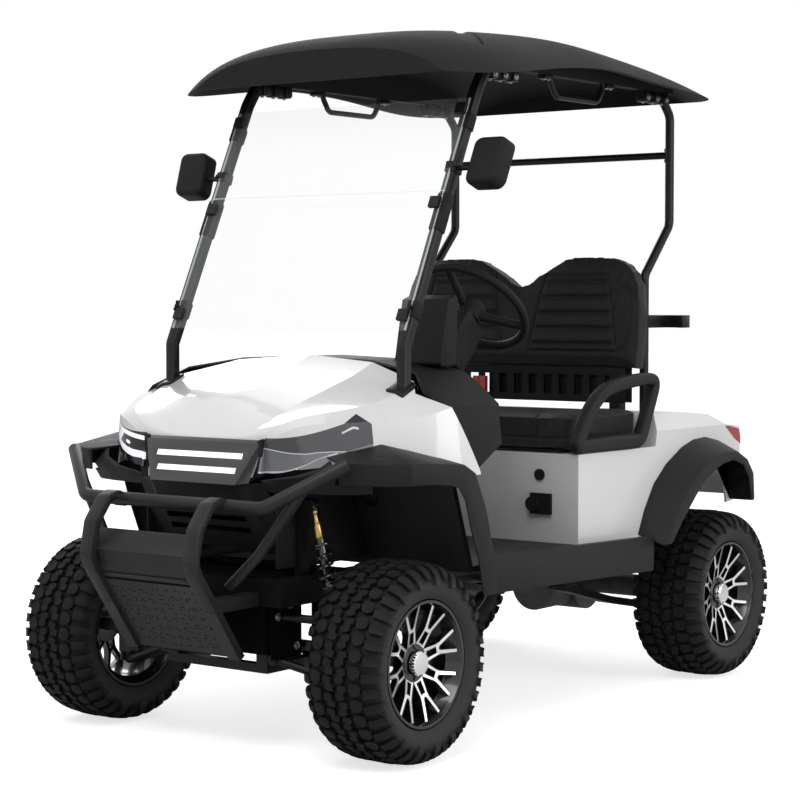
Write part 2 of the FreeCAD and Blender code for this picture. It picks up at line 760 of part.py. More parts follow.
def spring_hangers():
    """Cheek plates and a pin at each end of the leaf springs."""
    things = []
    low = mm("leaf_eye_z") - mm("leaf_eye_radius")
    top = mm("deck_z") - mm("rail_height")
    inner = mm("leaf_x") - mm("leaf_width") / 2 - mm("seat_gap") - mm("hanger_plate")
    outer = mm("leaf_x") + mm("leaf_width") / 2 + mm("seat_gap")
    reach = 2 * mm("leaf_eye_radius")
    for name, y in (("front", mm("leaf_front_y")), ("rear", mm("leaf_rear_y"))):
        start = min(y - reach / 2, mm("frame_rear_y") - reach)
        plates = [Part.makeBox(mm("hanger_plate"), reach, top - low + mm("hanger_plate"), V(x, start, low))
                  for x in (inner, outer)]
        roof = Part.makeBox(outer + mm("hanger_plate") - mm("rail_inside"), reach, mm("hanger_plate"),
                            V(mm("rail_inside"), start, top))
        pin = Part.makeCylinder(mm("leaf_eye_radius") / 3, outer - inner + mm("hanger_plate"),
                                V(inner, y, mm("leaf_eye_z")), V(1, 0, 0))
        hanger = feature("hanger_" + name, plates[0].multiFuse([plates[1], roof, pin]))
        things += [hanger, mirrored("hanger_" + name + "_right", hanger)]
    return things


def pin_bore(z, height):
    """The hole for the kingpin through one arm's boss."""
    return Part.makeCylinder(mm("kingpin_radius") + mm("pin_clearance"), height,
                             V(mm("kingpin_x"), front_axle_y, z))


def wishbone(bush_z, boss_z, shift):
    """A two-legged arm from its bushes on the subframe to the boss round the kingpin. The legs meet the boss a
    little off its middle height, clear of the knuckle."""
    bush_x = mm("subframe_inside") + mm("subframe_width") + mm("bush_radius") + mm("seat_gap")
    boss = Part.makeCylinder(mm("boss_radius"), mm("boss_height"), V(mm("kingpin_x"), front_axle_y, boss_z))
    pieces = []
    middle_z = boss_z + mm("boss_height") / 2 + shift
    for y in (mm("subframe_front_y") + mm("post_length") / 2, mm("subframe_rear_y") - mm("post_length") / 2):
        pieces.append(Part.makeCylinder(mm("bush_radius"), mm("bush_length"),
                                        V(bush_x, y - mm("bush_length") / 2, bush_z), V(0, 1, 0)))
        start = V(bush_x, y, bush_z)
        end = V(mm("kingpin_x"), front_axle_y, middle_z)
        pieces.append(Part.makeCylinder(mm("arm_tube_radius"), (end - start).Length, start, end - start))
    return boss.multiFuse(pieces).cut(pin_bore(boss_z - mm("overrun"), 3 * mm("overrun")))


def lower_arm_seat():
    """A cross tube between the lower arm's legs with two cheeks for the shock absorber's foot."""
    bush_x = mm("subframe_inside") + mm("subframe_width") + mm("bush_radius") + mm("seat_gap")
    share = (mm("shock_foot_x") - bush_x) / (mm("kingpin_x") - bush_x)
    boss_z = mm("knuckle_low_z") - mm("thrust_gap") - mm("boss_height") / 2 - mm("lower_arm_shift")
    z = mm("lower_bush_z") + share * (boss_z - mm("lower_bush_z"))
    front = mm("subframe_front_y") + mm("post_length") / 2
    rear = mm("subframe_rear_y") - mm("post_length") / 2
    start = front + share * (front_axle_y - front)
    end = rear + share * (front_axle_y - rear)
    return z, start, end


def make_front_arms():
    """Upper and lower wishbones on both sides."""
    low_boss = mm("knuckle_low_z") - mm("thrust_gap") - mm("boss_height")
    high_boss = mm("knuckle_high_z") + mm("thrust_gap")
    lower = wishbone(mm("lower_bush_z"), low_boss, -mm("lower_arm_shift"))
    z, start, end = lower_arm_seat()
    x = mm("shock_foot_x")
    radius = mm("arm_tube_radius")
    cross = Part.makeCylinder(radius, end - start, V(x, start, z), V(0, 1, 0))
    gap = mm("shock_eye_length") / 2 + mm("seat_gap")
    cheeks = []
    for side in (-1, 1):
        y = front_axle_y + side * gap - (mm("cheek") if side < 0 else 0)
        cheeks.append(Part.makeBox(2 * radius, mm("cheek"), radius + 2.2 * mm("shock_eye_radius"),
                                   V(x - radius, y, z)))
    lower = lower.multiFuse([cross] + cheeks)
    upper = wishbone(mm("upper_bush_z"), high_boss, mm("upper_arm_shift"))
    left = [feature("lower_arm", lower), feature("upper_arm", upper)]
    right = [mirrored(arm.Name + "_right", arm) for arm in left]
    node(group("front_arms", *(left + right)), "front_arms")


def make_shocks():
    """Coil-over shock absorbers between the towers and the lower arms."""
    z, start, end = lower_arm_seat()
    eye = mm("shock_eye_radius")
    foot = V(mm("shock_foot_x"), front_axle_y, z + mm("arm_tube_radius") + eye + mm("seat_gap"))
    top = V(mm("shock_top_x"), mm("shock_top_y"), mm("shock_top_z"))
    axis = V(top - foot).normalize()
    length = (top - foot).Length
    half = mm("shock_eye_length") / 2
    eyes = [Part.makeCylinder(eye, 2 * half, end_point - V(0, half, 0), V(0, 1, 0)) for end_point in (foot, top)]
    rod_part = Part.makeCylinder(mm("shock_body_radius") / 2, length, foot, axis)
    body = Part.makeCylinder(mm("shock_body_radius"), length - 6 * eye, foot + axis * eye * 1.6, axis)
    spring = Part.makeCylinder(mm("spring_radius"), length * 0.56, foot + axis * eye * 5, axis)
    shock = feature("shock", eyes[0].multiFuse([eyes[1], rod_part, body, spring]))
    pair("shock_absorbers", shock)


def knuckle_shape():
    """Left upright: kingpin ends, spindle and a steering arm with its eye."""
    x = mm("kingpin_x")
    size = mm("knuckle_size")
    low = mm("knuckle_low_z")
    high = mm("knuckle_high_z")
    body = Part.makeBox(size, size, high - low, V(x - size / 2, front_axle_y - size / 2, low))
    reach = mm("thrust_gap") + mm("boss_height") + mm("thrust_gap")
    pin = Part.makeCylinder(mm("kingpin_radius"), high - low + 2 * reach, V(x, front_axle_y, low - reach))
    end_x = mm("half_track") + mm("rim_width") / 2 - mm("spoke_face_depth") - mm("cheek")
    spindle = Part.makeCylinder(mm("stub_radius"), end_x - x, V(x, front_axle_y, mm("tyre_radius")), V(1, 0, 0))
    eye_y = front_axle_y + mm("steer_arm")
    arm_z = mm("rack_z") + mm("rod_end_radius") + mm("cheek")
    eye = Part.makeCylinder(mm("steer_eye_radius"), mm("steer_eye_thick"), V(x, eye_y, arm_z))
    arm = Part.makeBox(size / 2, mm("steer_arm"), mm("steer_eye_thick"), V(x - size / 4, front_axle_y, arm_z))
    hole = Part.makeCylinder(mm("steer_eye_bore"), 2 * mm("steer_eye_thick"),
                             V(x, eye_y, arm_z - mm("steer_eye_thick") / 2))
    return body.multiFuse([pin, spindle, eye, arm]).cut(hole)


def make_steering_gear():
    """Knuckles, the rack bar with its rod ends and studs, and the rack's housing."""
    knuckle = node(feature("knuckle_left", knuckle_shape()), "knuckle_left")
    node(mirrored("knuckle_right", knuckle), "knuckle_right")
    y = front_axle_y + mm("steer_arm") - mm("rack_lead")
    z = mm("rack_z")
    x = mm("kingpin_x")
    bar = Part.makeCylinder(mm("rack_radius"), 2 * x, V(-x, y, z), V(1, 0, 0))
    stud_height = mm("rod_end_radius") + mm("cheek") + mm("steer_eye_thick")
    ends = []
    for side in (-1, 1):
        ends.append(Part.makeSphere(mm("rod_end_radius"), V(side * x, y, z)))
        ends.append(Part.makeCylinder(mm("stud_radius"), stud_height, V(side * x, y, z)))
    node(feature("tie_rods", bar.multiFuse(ends)), "tie_rods")
    half = mm("rack_housing_half")
    foot_z = mm("subframe_z") + mm("subframe_plate") + mm("seat_gap")
    feet = []
    for side in (-1, 1):
        start = side * (mm("subframe_inside") + mm("subframe_width") / 2) - mm("subframe_width") / 2
        feet.append(Part.makeBox(mm("subframe_width"), mm("rack_housing_radius"), z - foot_z,
                                 V(start, y - mm("rack_housing_radius") / 2, foot_z)))
    shell = Part.makeCylinder(mm("rack_housing_radius"), 2 * (half + mm("subframe_width")),
                              V(-half - mm("subframe_width"), y, z), V(1, 0, 0))
    bore = Part.makeCylinder(mm("rack_radius") + mm("pin_clearance"), 4 * half, V(-2 * half, y, z), V(1, 0, 0))
    node(feature("steering_rack", shell.multiFuse(feet).cut(bore)), "steering_rack")


def make_rear_axle():
    """Axle tube with brake housings, stub ends, the gear case and the motor."""
    z = mm("tyre_radius")
    half = mm("axle_half")
    across = V(1, 0, 0)
    axle = Part.makeCylinder(mm("axle_radius"), 2 * half, V(-half, rear_axle_y, z), across)
    pieces = []
    for side in (-1, 1):
        direction = V(side, 0, 0)
        pieces.append(Part.makeCylinder(mm("drum_radius"), mm("drum_length"), V(side * half, rear_axle_y, z),
                                        direction))
        reach = mm("half_track") + mm("rim_width") / 2 - mm("spoke_face_depth") - mm("cheek") - half
        pieces.append(Part.makeCylinder(mm("stub_radius"), reach, V(side * half, rear_axle_y, z), direction))
    case_x = -mm("gearcase_length") / 2
    pieces.append(Part.makeCylinder(mm("gearcase_radius"), mm("gearcase_length"), V(case_x, rear_axle_y, z),
                                    across))
    motor_y = rear_axle_y - mm("gearcase_radius") - mm("motor_length") / 2
    pieces.append(Part.makeCylinder(mm("motor_radius"), mm("motor_length"), V(0, motor_y, z), V(0, 1, 0)))
    node(feature("rear_axle", axle.multiFuse(pieces)), "rear_axle")


def make_leaf_springs():
    """Arched leaf packs under the axle, with an eye at each end."""
    length = mm("leaf_rear_y") - mm("leaf_front_y")
    low = mm("tyre_radius") - mm("axle_radius") - mm("seat_gap") - mm("leaf_thick")
    upper = spread(LEAF_SHARES, mm("leaf_front_y"), low + mm("leaf_thick"), length, mm("leaf_eye_z") - low
                   - mm("leaf_thick"))
    lower = [(y, z - mm("leaf_thick")) for y, z in upper]
    start = mm("leaf_x") - mm("leaf_width") / 2
    leaf = side_prism("leaf", upper + lower[::-1], start, start + mm("leaf_width"))
    doc.recompute()
    eyes = []
    holes = []
    for y in (mm("leaf_front_y"), mm("leaf_rear_y")):
        eyes.append(Part.makeCylinder(mm("leaf_eye_radius"), mm("leaf_width"), V(start, y, mm("leaf_eye_z")),
                                      V(1, 0, 0)))
        holes.append(Part.makeCylinder(mm("leaf_eye_radius") / 3 + mm("seat_gap"), mm("leaf_width"),
                                       V(start, y, mm("leaf_eye_z")), V(1, 0, 0)))
    spring = feature("leaf_spring", leaf.Shape.multiFuse(eyes).cut(holes[0]).cut(holes[1]))
    doc.removeObject(leaf.Name)
    pair("leaf_springs", spring)


# bodywork

def loft_sections(stations, sections, start, length, half_width, base, height, smooth, trim=(0, 0), wall=0):
    """A solid through cross-sections; wall shrinks them for the hollow inside."""
    wires = []
    last = len(stations) - 1
    for number, (station, half) in enumerate(zip(stations, sections)):
        y = start + station * length
        y += trim[0] if number == 0 else 0
        y += trim[1] if number == last else 0
        widest = max(x for x, z in half) * half_width
        points = []
        for x, z in half:
            inward = (widest - wall) / widest
            points.append((x * half_width * inward, base + z * height - wall))
        wires.append(section_wire(points, y, smooth))
    return Part.makeLoft(wires, True, False)


def side_solid(points, inside, outside, radius=0):
    """The bare shape of a side view prism."""
    thing = side_prism("side_shape", points, inside, outside, radius)
    doc.recompute()
    shape = thing.Shape.copy()
    doc.removeObject(thing.Name)
    return shape


def along_cowl(shares):
    """Points of a side view table of the cowl."""
    return spread(shares, mm("cowl_front_y"), mm("cowl_base_z"), mm("cowl_length"), mm("cowl_height"))


def nose_solid(shares, grow):
    """The wedge that leans forward under the cowl's front edge."""
    half = NOSE_HALF_SHARE * mm("cowl_half_width") + grow
    wedge = side_solid(along_cowl(shares), -half, half)
    wedge.translate(V(0, -max(grow, 0), 0))
    return wedge


def cowl_solid(grow):
    """The cowl's outline as a full solid, grown by a gap or shrunk by a wall."""
    return loft_sections(COWL_STATION_SHARES, COWL_SECTION_SHARES, mm("cowl_front_y"), mm("cowl_length"),
                         mm("cowl_half_width"), mm("cowl_base_z"), mm("cowl_height"), False,
                         trim=(-grow, grow), wall=-grow)


def face_column():
    """The column behind the light panel, between the two lamps."""
    slant = (mm("face_half_top") - mm("face_half_low")) / (mm("face_top_z") - mm("face_low_z"))
    high = mm("face_top_z") + mm("overrun")
    low = mm("face_low_z") - mm("overrun")
    wide = mm("face_half_top") + slant * mm("overrun")
    narrow = mm("face_half_low") - slant * mm("overrun")
    front = mm("cowl_front_y") - mm("cowl_length")
    corners = [V(-wide, front, high), V(wide, front, high), V(narrow, front, low), V(-narrow, front, low)]
    return Part.Face(Part.makePolygon(corners + corners[:1])).extrude(V(0, 2 * mm("cowl_length"), 0))


def make_cowl():
    """White front body shell with its lamp lenses set flush in its front corners."""
    width = mm("cowl_half_width") + mm("overrun")
    wall = mm("cowl_wall")
    hollow = nose_solid(NOSE_HOLLOW_SHARES, -wall)
    nose = nose_solid(NOSE_SHARES, 0).cut(hollow)
    shell = cowl_solid(0).cut(cowl_solid(-wall)).cut(hollow).fuse(nose)
    shell = shell.cut(side_solid(along_cowl(CABIN_EDGE_SHARES), -width, width))
    edge = along_cowl(LAMP_EDGE_SHARES)
    rear, front = edge[-1][0], edge[0][0]
    low = mm("bumper_low_z")
    shell = shell.cut(side_solid(edge + [(rear, low), (front, low)], -width, width))
    lamps = side_solid(edge + along_cowl(LAMP_TOP_SHARES), -width, width).cut(face_column())
    node(feature("front_cowl", shell.cut(lamps)), "front_cowl")
    node(feature("front_lamps", shell.common(lamps)), "front_lamps")


def make_light_bar():
    """Black panel between the lamps, leaning forward, with two lit strips seated in its grooves."""
    back_y = mm("cowl_front_y") - mm("panel_gap")
    top = mm("face_half_top")
    low = mm("face_half_low")
    back = [V(top, back_y, mm("face_top_z")), V(low, back_y - mm("face_lean"), mm("face_low_z"))]
    front = [back[0] + V(-mm("face_inset_top"), -mm("face_depth_top"), -mm("face_drop_top")),
             back[1] + V(-mm("face_inset_low"), -mm("face_depth_low"), -mm("face_drop_low"))]
    wires = []
    for high, deep in (back, front):
        corners = [V(-high.x, high.y, high.z), high, deep, V(-deep.x, deep.y, deep.z)]
        wires.append(Part.makePolygon(corners + corners[:1]))
    panel = Part.makeLoft(wires, True, True)
    fall = V(0, front[1].y - front[0].y, front[1].z - front[0].z)
    inward = V(0, -fall.z, fall.y).normalize()
    half_high = V(fall).normalize() * (mm("light_strip") / 2)
    depth = mm("strip_groove")
    inset = mm("seat_gap")
    strips = []
    for down, share in STRIP_SHARES:
        middle = V(0, front[0].y, front[0].z) + fall * down
        half = mm("face_half_low") * share
        bounds = []
        for near, far, trim in ((-depth, depth, 0), (depth / 2, depth - inset, inset)):
            across = half_high * (1 - 2 * trim / mm("light_strip"))
            corners = [middle - across + inward * near, middle + across + inward * near,
                       middle + across + inward * far, middle - across + inward * far]
            bounds.append(side_solid([(p.y, p.z) for p in corners], trim - half, half - trim))
        panel = panel.cut(bounds[0])
        strips.append(bounds[1])
    node(feature("light_bar_panel", panel), "light_bar_panel")
    node(feature("light_strips", Part.makeCompound(strips)), "light_strips")


def bumper_solid(wall, extra):
    """The bumper cover's full outline through its three levels, or the hollow inside its wall."""
    wires = []
    for level, shares in zip(BUMPER_LEVEL_SHARES, BUMPER_OUTLINE_SHARES):
        z = mm("bumper_low_z") + level * (mm("bumper_top_z") - mm("bumper_low_z"))
        half = [(x * (mm("cowl_half_width") - wall), mm("cowl_front_y") + y * mm("cowl_length") + wall)
                for x, y in shares]
        half[-1] = (half[-1][0], half[-1][1] + extra)
        points = [V(x, y, z) for x, y in half] + [V(-x, y, z) for x, y in reversed(half) if x]
        wires.append(Part.makePolygon(points + points[:1]))
    return Part.makeLoft(wires, True, True)


def flare_front(side):
    """The space beyond the front end of one front flare, where the bumper cover stops."""
    ends = []
    for x, y, z in (FRONT_FLARE_ATTACH_SHARES[0], FRONT_FLARE_CREASE_SHARES[0]):
        ends.append(V(x * mm("flare_lip_x"), mm("front_flare_y") + y * mm("front_flare_length"), 0))
    along = (ends[1] - ends[0]).normalize()
    out = V(-along.y, along.x, 0)
    low = FRONT_FLARE_OPENING_SHARES[0][2] * mm("front_flare_height") + mm("front_flare_z") - mm("panel_gap")
    start = ends[0] - out * mm("panel_gap") + V(0, 0, low)
    reach = along * mm("front_flare_length")
    corners = [start - along * mm("overrun"), start + reach, start + reach + out * mm("front_flare_length"),
               start - along * mm("overrun") + out * mm("front_flare_length")]
    solid = Part.Face(Part.makePolygon(corners + corners[:1])).extrude(V(0, 0, mm("front_flare_height")))
    return solid if side > 0 else solid.mirror(V(), V(1, 0, 0))


def make_bumper_cover():
    """Black lower front cover, open behind, that closes up to the lamps, the light panel and the flares."""
    gap = mm("panel_gap")
    width = mm("cowl_half_width") + mm("overrun")
    cover = bumper_solid(0, 0).cut(bumper_solid(mm("bumper_wall"), mm("overrun")))
    edge = [(y, z - gap) for y, z in along_cowl(LAMP_EDGE_SHARES)]
    high = mm("bumper_top_z") + mm("overrun")
    above = side_solid(edge + [(edge[-1][0] + mm("overrun"), edge[-1][1]), (edge[-1][0] + mm("overrun"), high),
                               (edge[0][0], high)], -width, width)
    face = Part.makeBox(2 * (mm("face_half_low") + gap), mm("overrun"), mm("overrun"),
                        V(-mm("face_half_low") - gap, mm("cowl_front_y") - mm("face_lean") - mm("overrun"),
                          mm("face_low_z") - mm("face_drop_low") - gap))
    cover = cover.cut(above).cut(face).cut(cowl_solid(gap)).cut(nose_solid(NOSE_SHARES, gap))
    for side in (-1, 1):
        cover = cover.cut(flare_front(side))
    half = mm("grille_half")
    for number in range(int(mm("grille_slots"))):
        z = mm("bumper_low_z") + mm("grille_first") + number * mm("grille_pitch")
        cover = cover.cut(Part.makeBox(2 * half, 2 * mm("overrun"), mm("grille_slot"),
                                       V(-half, mm("cowl_front_y") - mm("overrun"), z)))
    node(feature("bumper_cover", cover), "bumper_cover")


def skin_solid(ribs):
    """A closed thin skin through ribs of six points each: three outside and three inside."""
    triangles = []

    def quad(a, b, c, d):
        triangles.append((a, b, c))
        triangles.append((a, c, d))

    for rib, following in zip(ribs, ribs[1:]):
        for i, point in enumerate(rib):
            j = (i + 1) % len(rib)
            quad(point, rib[j], following[j], following[i])
    for top, edge, low, low_in, edge_in, top_in in (ribs[0], ribs[-1]):
        quad(top, edge, edge_in, top_in)
        quad(edge, low, low_in, edge_in)
    faces = [Part.Face(Part.makePolygon([a, b, c, a])) for a, b, c in triangles]
    shell = Part.makeShell(faces)
    shell.sewShape()
    solid = Part.Solid(shell)
    if solid.Volume < 0:
        solid.reverse()
    return solid


def flare_shape(attach, crease, opening, centre):
    """A fender flare: ribs of a thin skin from the body to an outer crease and down to the wheel opening."""
    wall = mm("flare_wall")
    ribs = []
    for top, edge, low in zip(attach, crease, opening):
        across = V(edge.x - top.x, edge.y - top.y, 0).normalize()
        inward = V(0, centre.y - edge.y, centre.z - edge.z).normalize()
        ribs.append([top, edge, low, low - across * wall, edge - across * wall + inward * wall,
                     top + inward * wall])
    return skin_solid(ribs)


def front_flare():
    """The left front flare, which wraps round the cowl's corner."""
    def ribs(shares):
        return [V(x * mm("flare_lip_x"), mm("front_flare_y") + y * mm("front_flare_length"),
                  mm("front_flare_z") + z * mm("front_flare_height")) for x, y, z in shares]
    flare = flare_shape(ribs(FRONT_FLARE_ATTACH_SHARES), ribs(FRONT_FLARE_CREASE_SHARES),
                        ribs(FRONT_FLARE_OPENING_SHARES), V(0, front_axle_y, mm("tyre_radius")))
    room = cowl_solid(mm("panel_gap"))
    lower = room.copy()
    lower.translate(V(0, 0, -2 * mm("panel_gap")))
    return flare.cut(room).cut(lower)


def rear_flare_line(shares):
    """Points of a side view table of the rear flare, which keeps its place over the rear wheel."""
    start = rear_axle_y - REAR_FLARE_SHARE * mm("rear_flare_length")
    return spread(shares, start, mm("rear_flare_z"), mm("rear_flare_length"), mm("rear_flare_height"))


def rear_flare():
    """The left rear flare, flat against the body's side."""
    def ribs(shares, x):
        return [V(x, y, z) for y, z in rear_flare_line(shares)]
    return flare_shape(ribs(REAR_FLARE_ATTACH_SHARES, mm("body_half_width") + mm("panel_gap")),
                       ribs(REAR_FLARE_CREASE_SHARES, mm("flare_lip_x")),
                       ribs(REAR_FLARE_OPENING_SHARES, mm("flare_lip_x")),
                       V(0, rear_axle_y, mm("tyre_radius")))


def make_flares():
    """Front and rear fender flares on both sides."""
    pair("front_flares", feature("front_flare", front_flare()))
    pair("rear_flares", feature("rear_flare", rear_flare()))


def make_sills():
    """Rocker mouldings along the floor's edges."""
    low = mm("sill_low_z")
    rise = mm("sill_rise")
    points = [(mm("sill_front_y"), low + rise), (mm("sill_front_y"), low + rise + mm("sill_front_height")),
              (mm("sill_rear_y"), low + mm("sill_rear_height")), (mm("sill_rear_y"), low)]
    outline = corner_edges(points, mm("sill_thick") / 4)
    sill = prism("sill", "YZ_Plane", [outline], "Dims.sill_thick", {"x": "Dims.sill_inside_x"})
    pair("side_sills", sill)


def make_floor():
    """Floor pan bent up into the toe board."""
    thick = mm("floor_thick")
    z = mm("deck_z")
    rear = mm("body_front_y") - mm("panel_gap")
    points = [(rear, z), (rear, z + thick), (mm("floor_front_y") + thick, z + thick),
              (mm("toe_board_y") + thick, mm("toe_board_z")), (mm("toe_board_y"), mm("toe_board_z")),
              (mm("floor_front_y"), z)]
    floor = prism("floor", "YZ_Plane", [corner_edges(points)], "2 * (Dims.sill_inside_x - Dims.panel_gap)",
                  middle=True)
    node(cut("floor_pan", floor, column_room(mm("column_radius") + mm("seat_gap"))), "floor_pan")


def column_axis():
    """Direction from the steering wheel down along its column."""
    tilt = math.radians(mm("wheel_tilt"))
    return V(0, -math.cos(tilt), -math.sin(tilt))


def wheel_centre():
    """Centre of the steering wheel's rim."""
    return V(mm("wheel_x"), mm("wheel_y"), mm("wheel_z"))


def column_room(radius):
    """The passage that the steering column needs through a panel."""
    length = mm("column_length") + mm("overrun") * 3
    return feature("column_room", Part.makeCylinder(radius, length, wheel_centre(), column_axis()))


def make_dashboard():
    """Moulded dash behind the cowl, hollow towards the front, with an instrument binnacle."""
    base = mm("cowl_base_z")
    height = mm("cowl_height")
    edge = spread(CABIN_EDGE_SHARES[2:5], mm("cowl_front_y") + mm("panel_gap"), base, mm("cowl_length"), height)
    rear = mm("dash_rear_y")
    low = mm("dash_base_z")
    tall = edge[0][1] - low
    profile = edge + [(rear - tall * 0.16, low), (rear - tall * 0.13, low + tall * 0.35),
                      (rear, low + tall * 0.7), (rear - tall * 0.05, low + tall * 0.97)]
    wall = mm("dash_wall")
    half = mm("cowl_half_width")
    hollow = [(edge[0][0] - wall * 8, edge[0][1] - wall), (edge[1][0] - wall * 8, edge[1][1]),
              (edge[2][0] - wall * 8, edge[2][1] - wall * 2), (edge[2][0], edge[2][1] - wall * 2),
              (rear - tall * 0.16 - wall, low - wall),
              (rear - tall * 0.13 - wall, low + tall * 0.35), (rear - wall, low + tall * 0.7),
              (rear - tall * 0.05 - wall, low + tall * 0.97 - wall)]
    solids = []
    for side, inset in ((side_solid(profile, -half, half), 0), (side_solid(hollow, -half, half), wall)):
        section = [(x * half - (inset if x else 0), base + z * height - inset) for x, z in DASH_SECTION_SHARES]
        points = [V(x, rear + mm("overrun"), z) for x, z in both_sides(section)]
        across = Part.Face(Part.makePolygon(points + points[:1])).extrude(V(0, -2 * mm("cowl_length"), 0))
        solids.append(side.common(across))
    shell = solids[0].cut(solids[1])
    inside = mm("binnacle_inside_x")
    outside = mm("binnacle_outside_x")
    top = mm("binnacle_top_z")
    seat_z = low + tall * 0.86
    hood = [(rear - tall * 0.1, seat_z), (rear - tall * 0.06, top), (rear - tall * 0.26, top - wall * 3),
            (rear - tall * 0.42, seat_z)]
    shape = shell.fuse(side_solid(hood, inside, outside, wall * 2))
    passage = column_room(mm("column_radius") + mm("seat_gap"))
    node(cut("dashboard", feature("dash_shell", shape), passage), "dashboard")


def make_steering():
    """Column jacket with its shroud, and the wheel with its ring, spokes, hub and shaft."""
    centre = wheel_centre()
    down = column_axis()
    hub = mm("wheel_hub_depth")
    start = hub + mm("column_gap")
    jacket = Part.makeCylinder(mm("column_radius"), mm("column_length") - start, centre + down * start, down)
    bore = Part.makeCylinder(mm("column_radius") / 2, hub * 2, centre + down * (start - mm("seat_gap")), down)
    width = mm("shroud_width")
    height = mm("shroud_height")
    shroud = Part.makeBox(width, height, mm("shroud_length"), V(-width / 2, -height / 2, 0))
    shroud.Placement = FreeCAD.Placement(centre + down * start, FreeCAD.Rotation(V(0, 0, 1), down))
    column = jacket.fuse(shroud).cut(bore)
    node(feature("steering_column", column), "steering_column")
    ring = Part.makeTorus(mm("wheel_ring_radius"), mm("wheel_grip"), centre, down)
    centre_hub = Part.makeCylinder(mm("wheel_hub_radius"), hub * 0.7, centre + down * (hub * 0.3), down)
    shaft = Part.makeCylinder(mm("column_radius") / 2 - mm("pin_clearance"), hub * 1.6, centre + down * hub * 0.5,
                              down)
    spokes = []
    for turn in (90, 210, 330):
        across = V(math.cos(math.radians(turn)), 0, math.sin(math.radians(turn)))
        rotation = FreeCAD.Rotation(V(0, -1, 0), down)
        end = centre + rotation.multVec(across) * mm("wheel_ring_radius")
        begin = centre + down * (hub * 0.6)
        spokes.append(Part.makeCylinder(mm("wheel_spoke") / 2, (end - begin).Length, begin, end - begin))
    wheel = ring.multiFuse([centre_hub, shaft] + spokes)
    node(feature("steering_wheel", wheel), "steering_wheel")


def make_pedals():
    """Brake and accelerator pads standing off the toe board on their levers."""
    slope = V(0, mm("toe_board_y") - mm("floor_front_y"), mm("toe_board_z") - mm("deck_z")
              - mm("floor_thick")).normalize()
    away = V(0, slope.z, -slope.y)
    thick = mm("floor_thick")
    pads = []
    for x in (mm("wheel_x") - mm("shroud_width") * 1.2, mm("wheel_x") + mm("shroud_width") * 0.9):
        foot = V(x, mm("floor_front_y") + thick, mm("deck_z") + thick) + slope * mm("shroud_height")
        lever = Part.makeCylinder(thick / 2, mm("shroud_width") * 0.6, foot + away * mm("seat_gap"), away)
        pad = Part.makeBox(mm("shroud_width") * 0.7, thick * 0.8, mm("shroud_height"))
        pad.Placement = FreeCAD.Placement(foot + away * mm("shroud_width") * 0.55
                                          - V(mm("shroud_width") * 0.35, 0, 0) - slope * mm("shroud_height") / 2,
                                          FreeCAD.Rotation(V(0, 0, 1), slope))
        pads.append(lever.fuse(pad))
    node(feature("pedals", Part.makeCompound(pads)), "pedals")


def rear_end():
    """Station of the rear body's end."""
    return rear_axle_y + mm("rear_overhang")


def bag_front():
    """Station where the bag well starts."""
    return rear_end() - mm("bag_setback") - mm("bag_length")


def body_profile():
    """Side outline of the rear body: its foot at the cabin, the seat shelf, the deck and the tail."""
    front = mm("body_front_y")
    shelf = mm("seat_front_y") + mm("seat_depth") + mm("shelf_gap")
    deck = spread(DECK_SHARES, shelf, mm("deck_z"), rear_end() - shelf, mm("body_height"))
    return [(front, mm("deck_z")), (front, mm("seat_base_z")), (shelf, mm("seat_base_z"))] + deck


def deck_height(station):
    """Height of the rear deck at one station."""
    deck = body_profile()[3:8]
    for (y, z), (next_y, next_z) in zip(deck, deck[1:]):
        if station <= next_y:
            return z + (next_z - z) * (station - y) / (next_y - y)
    return deck[-1][1]


def make_rear_body():
    """White rear shell: seat base, deck and fenders, open below, over the battery and over the bag well."""
    base = mm("deck_z")
    half = mm("body_half_width")
    wall = mm("body_wall")
    profile = body_profile()
    hollow = [(y + a * wall, z + b * wall) for (y, z), (a, b) in zip(profile, BODY_HOLLOW_SHARES)]
    front = mm("body_front_y") - wall
    solids = []
    for line, inset in ((profile, 0), (hollow, wall)):
        section = [(x * half - inset, base + z * mm("body_height") - inset) for x, z in BODY_SECTION_SHARES]
        section[0] = (section[0][0], base - 2 * wall)
        points = [V(x, front, z) for x, z in both_sides(section)]
        across = Part.Face(Part.makePolygon(points + points[:1])).extrude(V(0, rear_end() - front + wall, 0))
        solids.append(side_solid(line, -half, half).common(across))
    shell = solids[0].cut(solids[1])
    opening = rear_flare_line(REAR_FLARE_OPENING_SHARES)
    low = base - mm("overrun")
    shell = shell.cut(side_solid([(opening[0][0], low)] + opening + [(opening[-1][0], low)], -half - wall,
                                 half + wall))
    top = mm("body_height")
    door = Part.makeBox(2 * mm("battery_door_half"), mm("battery_door_length"), top,
                        V(-mm("battery_door_half"), mm("battery_door_front"), mm("seat_base_z") - 2 * wall))
    bag = Part.makeBox(2 * mm("bag_half_width"), mm("bag_length"), top,
                       V(-mm("bag_half_width"), bag_front(), mm("bag_floor_z") + 2 * wall))
    shell = shell.cut(door).cut(bag)
    for notch in tail_lamp_solids(0, wall):
        shell = shell.cut(notch)
    node(feature("rear_body", shell), "rear_body")


